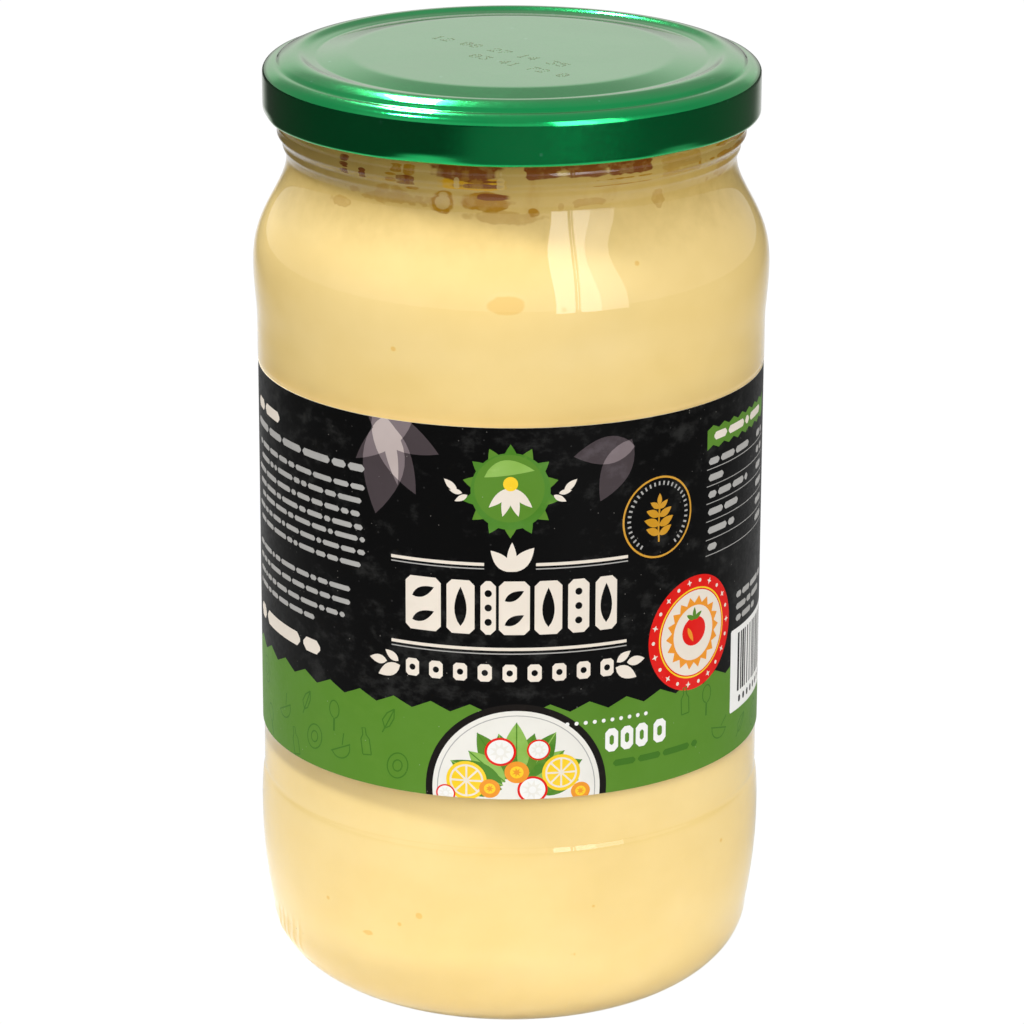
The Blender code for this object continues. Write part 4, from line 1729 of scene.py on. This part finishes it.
@dataclass
class Label:
    """The paper strip round the jar, printed outside, its end lapped over its start at the back."""

    bottom: float = 47.2 * MM
    radius: float = 44.05 * MM
    paper: float = 0.1 * MM
    lap_degrees: float = 6.0
    lap_lift: float = 0.13 * MM
    grid_degrees: float = 2.5
    glazes: tuple[Ink, ...] = (Ink.LEAF_DARK, Ink.LEAF_MID, Ink.LEAF_LIGHT)

    def cut(
        self, fields: Sequence[Field], height: float
    ) -> tuple[np.ndarray, list[tuple[int, int, int]], list[Ink]]:
        """Cuts the print into triangles of one ink each.

        Args:
            fields: the fields, the lowest first.
            height: the label's height in millimetres.

        Returns:
            The flat points, the triangles and the ink of each.
        """
        around = self.radius / MM
        left, right = -math.pi * around, (math.pi + math.radians(self.lap_degrees)) * around
        points = [Vector(corner) for corner in ((left, 0.0), (right, 0.0), (right, height), (left, height))]
        faces = [[0, 1, 2, 3]]
        for one in fields[1:]:
            first = len(points)
            points += [Vector(point) for point in Shapes.leftward(one.outline)]
            faces.append(list(range(first, len(points))))
        edges = []
        step = math.radians(self.grid_degrees) * around
        for count in range(1, int((right - left) / step) + 1):
            at = left + count * step
            if at < right - 0.05:
                edges.append((len(points), len(points) + 1))
                points += [Vector((at, 0.0)), Vector((at, height))]
        made, _, triangles, _, _, origins = delaunay_2d_cdt(points, edges, faces, 1, 1e-4, True)
        kept, inks = [], []
        for corners, sources in zip(triangles, origins):
            if 0 not in sources:
                continue
            top = fields[max(sources)]
            ink = top.ink
            if top.glaze:
                overlaps = sum(1 for source in sources if fields[source].glaze)
                ink = self.glazes[min(overlaps, len(self.glazes)) - 1]
            kept.append(tuple(corners))
            inks.append(ink)
        return np.array([tuple(point) for point in made]), kept, inks

    def wrap(self, flat: np.ndarray, inset: float) -> np.ndarray:
        """Wraps flat points round the jar.

        Args:
            flat: points in millimetres round and up.
            inset: how far inside the label's outer face they go.

        Returns:
            The points in metres.
        """
        angle = flat[:, 0] * MM / self.radius
        lift = self.lap_lift * smooth_step((np.degrees(angle) - 172.0) / 7.0)
        radius = self.radius - inset + lift
        up = self.bottom + flat[:, 1] * MM
        return np.stack([radius * np.sin(angle), -radius * np.cos(angle), up], axis=1)

    def build(self) -> bpy.types.Object:
        """Builds and dresses the label.

        Returns:
            The label's piece.
        """
        print_work = LabelPrint()
        flat, triangles, inks = self.cut(print_work.draw(), print_work.height)
        count = len(flat)
        points = np.concatenate([self.wrap(flat, 0.0), self.wrap(flat, self.paper)])
        faces = [list(corners) for corners in triangles]
        slots = [ink.value for ink in inks]
        used: dict[tuple[int, int], int] = {}
        for corners in triangles:
            for start, end in zip(corners, corners[1:] + corners[:1]):
                used[(start, end)] = used.get((start, end), 0) + 1
        rim = [edge for edge in used if (edge[1], edge[0]) not in used]
        faces += [[c + count, b + count, a + count] for a, b, c in triangles]
        slots += [Ink.PAPER.value] * len(triangles)
        faces += [[end, start, start + count, end + count] for start, end in rim]
        slots += [Ink.PAPER.value] * len(rim)
        made = MeshShop.piece("printed_label", points, faces)
        made.data.polygons.foreach_set("material_index", slots)
        made.data.shade_smooth()
        self.smooth_round(made, len(triangles))
        for ink in Ink:
            made.data.materials.append(INKS[ink].material("ink_" + ink.name.lower()))
        return MeshShop.hang(made, "label_paper", "label")

    @staticmethod
    def smooth_round(made: bpy.types.Object, printed: int) -> None:
        """Gives the strip's faces round normals and leaves its rim sharp.

        Args:
            made: the strip.
            printed: how many printed faces it has. As many of plain paper follow them.
        """
        mesh = made.data
        points = np.zeros(len(mesh.vertices) * 3)
        mesh.vertices.foreach_get("co", points)
        points = points.reshape(-1, 3)
        radial = points * (1.0, 1.0, 0.0)
        radial /= np.linalg.norm(radial, axis=1)[:, None]
        normals = []
        for polygon in mesh.polygons:
            for corner in polygon.vertices:
                if polygon.index < printed:
                    normals.append(tuple(radial[corner]))
                elif polygon.index < printed * 2:
                    normals.append(tuple(-radial[corner]))
                else:
                    normals.append(tuple(polygon.normal))
        mesh.normals_split_custom_set(normals)


@dataclass
class Lid:
    """The pressed tinplate lid with its ringed panel, rolled edge and six lugs."""

    radius: float = 42.75 * MM
    bottom: float = 157.0 * MM
    sheet: float = 0.35 * MM
    panel_height: float = 167.12 * MM
    panel_radius: float = 28.0 * MM
    groove_radius: float = 33.5 * MM
    groove_height: float = 166.38 * MM
    crest_radius: float = 36.8 * MM
    crest_height: float = 167.1 * MM
    foot_radius: float = 39.8 * MM
    foot_height: float = 166.2 * MM
    fullness: float = 1.7
    ledge_radius: float = 40.6 * MM
    ledge_height: float = 165.6 * MM
    shoulder_drop: float = 1.8 * MM
    skirt_top: float = 163.6 * MM
    wave: float = 0.03 * MM
    curl: float = 0.55 * MM
    lug_depth: float = 0.32 * MM
    lug_half: float = 13.0
    lug_rise: float = 1.8 * MM
    lugs: int = 6
    lug_angle: float = -19.0

    def top_profile(self, drop: float) -> list[Point]:
        """The top from the axis over the panel, the groove and the crest to the ledge.

        Args:
            drop: how far it is lowered.

        Returns:
            The profile.
        """
        ring = [
            (self.panel_radius - 1.5 * MM, self.panel_height - drop),
            (self.panel_radius, self.panel_height - drop),
            (self.panel_radius + 1.2 * MM, self.panel_height - 0.14 * MM - drop),
            (self.groove_radius - 0.7 * MM, self.groove_height + 0.10 * MM - drop),
            (self.groove_radius, self.groove_height - drop),
            (self.groove_radius + 0.5 * MM, self.groove_height + 0.09 * MM - drop),
            (self.groove_radius + 1.7 * MM, self.groove_height + 0.24 * MM - drop),
            (self.crest_radius - 0.5 * MM, self.crest_height - 0.04 * MM - drop),
        ]
        for share in spread(0.0, 1.0, 7):
            across = self.crest_radius + (self.foot_radius - self.crest_radius) * share
            fall = (self.crest_height - self.foot_height) * share**self.fullness
            ring.append((across, self.crest_height - fall - drop))
        ring.append((self.ledge_radius - 0.3 * MM, self.ledge_height + 0.06 * MM - drop))
        ring.append((self.ledge_radius, self.ledge_height - drop))
        reach = self.panel_radius - 2.0 * MM
        flat = [(radius, self.panel_height - drop) for radius in spread(0.0, reach, 12)]
        return flat + rounded(ring)[1:]

    def side_profile(self, inset: float) -> list[Point]:
        """The round shoulder from the ledge to the skirt.

        Args:
            inset: how far it is moved inward.

        Returns:
            The profile.
        """
        made = []
        rise = self.shoulder_drop - inset
        for turn in spread(math.radians(9.0), math.radians(90.0), 16):
            across = self.ledge_radius + (self.radius - self.ledge_radius - inset) * math.sin(turn)
            made.append((across, self.ledge_height - self.shoulder_drop + rise * math.cos(turn)))
        return made

    def shape(self, radius: Grid, angle: Grid, height: Grid) -> tuple[Grid, Grid]:
        """Presses the lugs in and adds the skirt's slight waves.

        Args:
            radius: each point's radius.
            angle: its angle from +X.
            height: its height.

        Returns:
            The new radius and height.
        """
        pitch = 360.0 / self.lugs
        front = np.degrees(from_front(angle))
        away = np.abs((front - self.lug_angle + pitch / 2.0) % pitch - pitch / 2.0)
        near = smooth_step(1.0 - away / self.lug_half)
        low = smooth_step(1.0 - (height - self.bottom) / self.lug_rise)
        side = radius > self.ledge_radius
        wave = self.wave * np.cos(np.radians(front) * 9.0) * side
        return radius - self.lug_depth * near * low - np.abs(wave), height

    def build(self) -> bpy.types.Object:
        """Builds and dresses the lid.

        Returns:
            The lid's piece.
        """
        inner = self.radius - self.sheet
        profile = self.top_profile(0.0) + self.side_profile(0.0)
        skirt = [(self.radius, self.skirt_top), (self.radius, self.bottom + self.curl + 0.3 * MM)]
        profile += fill_in(skirt, 0.35 * MM)
        for turn in spread(0.0, 290.0, 14):
            around = math.radians(turn)
            across = self.radius - self.curl + self.curl * math.cos(around)
            profile.append((across, self.bottom + self.curl - self.curl * math.sin(around)))
        profile += fill_in([(inner, self.bottom + 1.6 * MM), (inner, self.skirt_top)], 0.6 * MM)
        profile += reversed(self.side_profile(self.sheet))
        profile += reversed(self.top_profile(self.sheet))
        made = MeshShop.turn("lacquered_lid", profile, columns(360), self.shape)
        made.data.materials.append(LacquerFinish().material())
        return MeshShop.hang(made, "lid_lacquer", "lid")


@dataclass
class DateDots:
    """The rows of tiny ink dots sprayed on the lid's panel, as plain numbers."""

    panel: float = 167.12 * MM
    dot: float = 0.10 * MM
    pitch: float = 0.36 * MM
    second_row: Point = (41.0, -15.5)
    rise: float = 0.05 * MM
    middle: Point = (-1.0, 0.0)
    turn: float = -45.0
    advance: float = 6.4
    rows: tuple[str, ...] = ("12 08 27 14 35", "03 41 72 0")

    DIGITS = {
        "0": "01110100011001110101110011000101110", "1": "00100011000010000100001000010001110",
        "2": "01110100010000100010001000100011111", "3": "11111000100010000010000011000101110",
        "4": "00010001100101010010111110001000010", "5": "11111100001111000001000011000101110",
        "7": "11111000010001000100010000100001000", "8": "01110100011000101110100011000101110",
        " ": "0" * 35,
    }

    def spots(self) -> list[Point]:
        """The middle of each dot on the panel.

        Returns:
            (x, y) in metres.
        """
        made = []
        turn = math.radians(self.turn)
        for line, row in enumerate(self.rows):
            for column, digit in enumerate(row):
                for cell, filled in enumerate(self.DIGITS[digit]):
                    if filled == "0":
                        continue
                    start = (column - len(self.rows[0]) / 2.0) * self.advance
                    across = start + cell % 5 + line * self.second_row[0]
                    up = line * self.second_row[1] - cell // 5
                    x, y = across * self.pitch, up * self.pitch
                    made.append((
                        self.middle[0] * MM + x * math.cos(turn) - y * math.sin(turn),
                        self.middle[1] * MM + x * math.sin(turn) + y * math.cos(turn),
                    ))
        return made

    def build(self) -> bpy.types.Object:
        """Builds the dots as small flat discs on the panel.

        Returns:
            The piece that holds all of them.
        """
        points, faces = [], []
        sides = 8
        for x, y in self.spots():
            first = len(points)
            for height in (self.panel - 0.03 * MM, self.panel + self.rise):
                for step in range(sides):
                    around = 2.0 * math.pi * step / sides
                    points.append((x + self.dot * math.cos(around), y + self.dot * math.sin(around), height))
            faces.append([first + step for step in reversed(range(sides))])
            faces.append([first + sides + step for step in range(sides)])
            for step in range(sides):
                after = (step + 1) % sides
                faces.append([first + step, first + after, first + sides + after, first + sides + step])
        made = MeshShop.piece("lid_date_dots", np.array(points), faces)
        made.data.materials.append(DotInkFinish().material())
        return MeshShop.hang(made, "lid_lacquer")


@dataclass(frozen=True)
class SoftLight:
    """A rectangular soft light that faces a point."""

    name: str
    at: Place
    size: Pair
    power: float
    aim: Place = (0.0, 0.0, 0.1)
    roll: float = 0.0

    def build(self) -> bpy.types.Object:
        """Sets up the light, turned about the line to its aim by the roll in degrees.

        Returns:
            The light.
        """
        data = bpy.data.lights.new(self.name, "AREA")
        data.shape = "RECTANGLE"
        data.size, data.size_y = self.size
        data.energy = self.power
        made = bpy.data.objects.new(self.name, data)
        made.location = self.at
        made.rotation_mode = "QUATERNION"
        facing = (Vector(self.aim) - Vector(self.at)).to_track_quat("-Z", "Y")
        made.rotation_quaternion = facing @ Quaternion((0.0, 0.0, 1.0), math.radians(self.roll))
        bpy.context.scene.collection.objects.link(made)
        return made


@dataclass
class Studio:
    """The pale floor, the sky, the camera, the window-like lights at the right and those over the jar."""

    floor_radius: float = 4.0
    table: Pair = (0.82, 0.90)
    # Painted shade: the table's levels far from the jar, ahead of it and to its left and right, seen in the
    # jar's reflections and bounce light.
    table_shade_far: float = 0.56
    table_shade_ahead: float = 0.15
    table_shade_left: float = 0.04
    table_shade_right: float = 0.09
    camera_at: Place = (0.0, -787.7 * MM, 341.3 * MM)
    pitch: float = 18.079
    roll: float = 0.178
    lens: float = 165.23
    shift: float = 0.00145
    sky_side: float = 0.42
    sky_front: float = 0.66
    sky_back: float = 0.83
    sky_top: float = 0.48
    lights: tuple[SoftLight, ...] = (
        SoftLight("window_box", (0.74, -1.34, 0.72), (0.52, 1.66), 13.0, (0.0, -0.10, 0.72)),
        SoftLight("window_edge", (1.06, -1.06, 0.72), (0.34, 1.66), 4.2, (0.0, -0.10, 0.72)),
        SoftLight("key_box", (-0.80, -0.38, 1.30), (0.26, 0.26), 14.0),
        SoftLight("back_strip", (-0.247, 0.674, 1.10), (0.13, 0.44), 8.0, (0.0, 0.0, 0.165), -33.0),
    )

    def floor(self) -> None:
        """A wide pale disc. The camera sees it white; to the jar it is a darker table with painted shade,
        darker away from the jar and to the front, left and right.
        """
        rings = [0.0, 0.1, 0.3, 0.6, 1.2, 2.4, self.floor_radius]
        profile = [(radius, 0.0) for radius in rings] + [(self.floor_radius, -0.02), (0.0, -0.02)]
        made = MeshShop.turn("studio_floor", profile, columns(96))
        paint, bench, shader = new_material("pale_floor")
        where = bench.place()
        across, along, _ = bench.split(where)
        grain = EFFECTS.grain(bench, 60.0, 0.1)["Value"]
        away = bench.node("ShaderNodeVectorMath", {0: where}, operation="LENGTH").outputs["Value"]
        table = bench.mix(grain, grey(self.table[0]), grey(self.table[1]))
        # Painted shade: the table darkens away from the jar and towards the front, left and right.
        for share, level in (
            (bench.ramp(away, 0.045, 0.10), self.table_shade_far),
            (bench.ramp(along, -0.15, -0.40), self.table_shade_ahead),
            (bench.ramp(across, -0.12, -0.38), self.table_shade_left),
            (bench.ramp(across, 0.12, 0.42), self.table_shade_right),
        ):
            table = bench.mix(share, table, grey(level))
        bench.dress(shader, {"Base Color": table, "Roughness": 0.6, "Specular IOR Level": 0.0})
        bright = bench.node("ShaderNodeEmission", {0: bench.mix(grain, grey(1.0), grey(1.04)), 1: 1.0})
        path = bench.node("ShaderNodeLightPath").outputs
        bench.cover(path["Is Camera Ray"], shader, bright)
        made.data.materials.append(paint)

    def sky(self) -> None:
        """A soft sky, brighter overhead and in a patch low behind the jar."""
        world = bpy.data.worlds.new("studio_sky")
        bpy.context.scene.world = world
        world.use_nodes = True
        bench = Bench(world.node_tree)
        _, back, up = bench.split(bench.node("ShaderNodeTexCoord").outputs["Generated"])
        ahead = bench.math("MULTIPLY", bench.ramp(back, 0.1, -0.7), bench.ramp(up, 0.75, 0.3))
        level = bench.math("MULTIPLY_ADD", ahead, self.sky_front - self.sky_side, self.sky_side)
        low = bench.math("MULTIPLY", bench.ramp(back, 0.72, 0.92), bench.ramp(up, 0.46, 0.28))
        low = bench.math("MULTIPLY", low, bench.ramp(up, 0.02, 0.16, 0.15, 1.0))
        level = bench.math("ADD", level, bench.math("MULTIPLY", low, self.sky_back - self.sky_side))
        level = bench.math("ADD", level, bench.ramp(up, 0.55, 0.85, 0.0, self.sky_top - self.sky_side))
        bench.dress(world.node_tree.nodes["Background"], {0: grey(1.0), 1: level})

    def camera(self) -> None:
        """The camera at the photograph's angle."""
        data = bpy.data.cameras.new("camera")
        data.sensor_width = 36.0
        data.lens = self.lens
        data.shift_x = self.shift
        data.clip_start, data.clip_end = 0.05, 30.0
        made = bpy.data.objects.new("camera", data)
        tilt = Matrix.Rotation(math.radians(90.0 - self.pitch), 4, "X")
        turn = tilt @ Matrix.Rotation(math.radians(self.roll), 4, "Z")
        made.matrix_world = Matrix.Translation(self.camera_at) @ turn
        bpy.context.scene.collection.objects.link(made)
        bpy.context.scene.camera = made

    def build(self) -> None:
        """Sets up the studio."""
        self.floor()
        self.sky()
        for light in self.lights:
            light.build()
        self.camera()
        bpy.context.scene.view_settings.view_transform = "Standard"
        bpy.context.scene.view_settings.look = "None"


def main() -> None:
    """Builds the jar, its filling, label and lid, and the studio round them."""
    logging.basicConfig(level=logging.INFO, format="%(name)s: %(message)s")
    glass = Glass()
    for part in (glass, Filling(glass), Label(), Lid(), DateDots()):
        made = part.build()
        log.info("%s: %d points, %d faces", made.name, len(made.data.vertices), len(made.data.polygons))
    Studio().build()


if __name__ == "__main__":
    main()
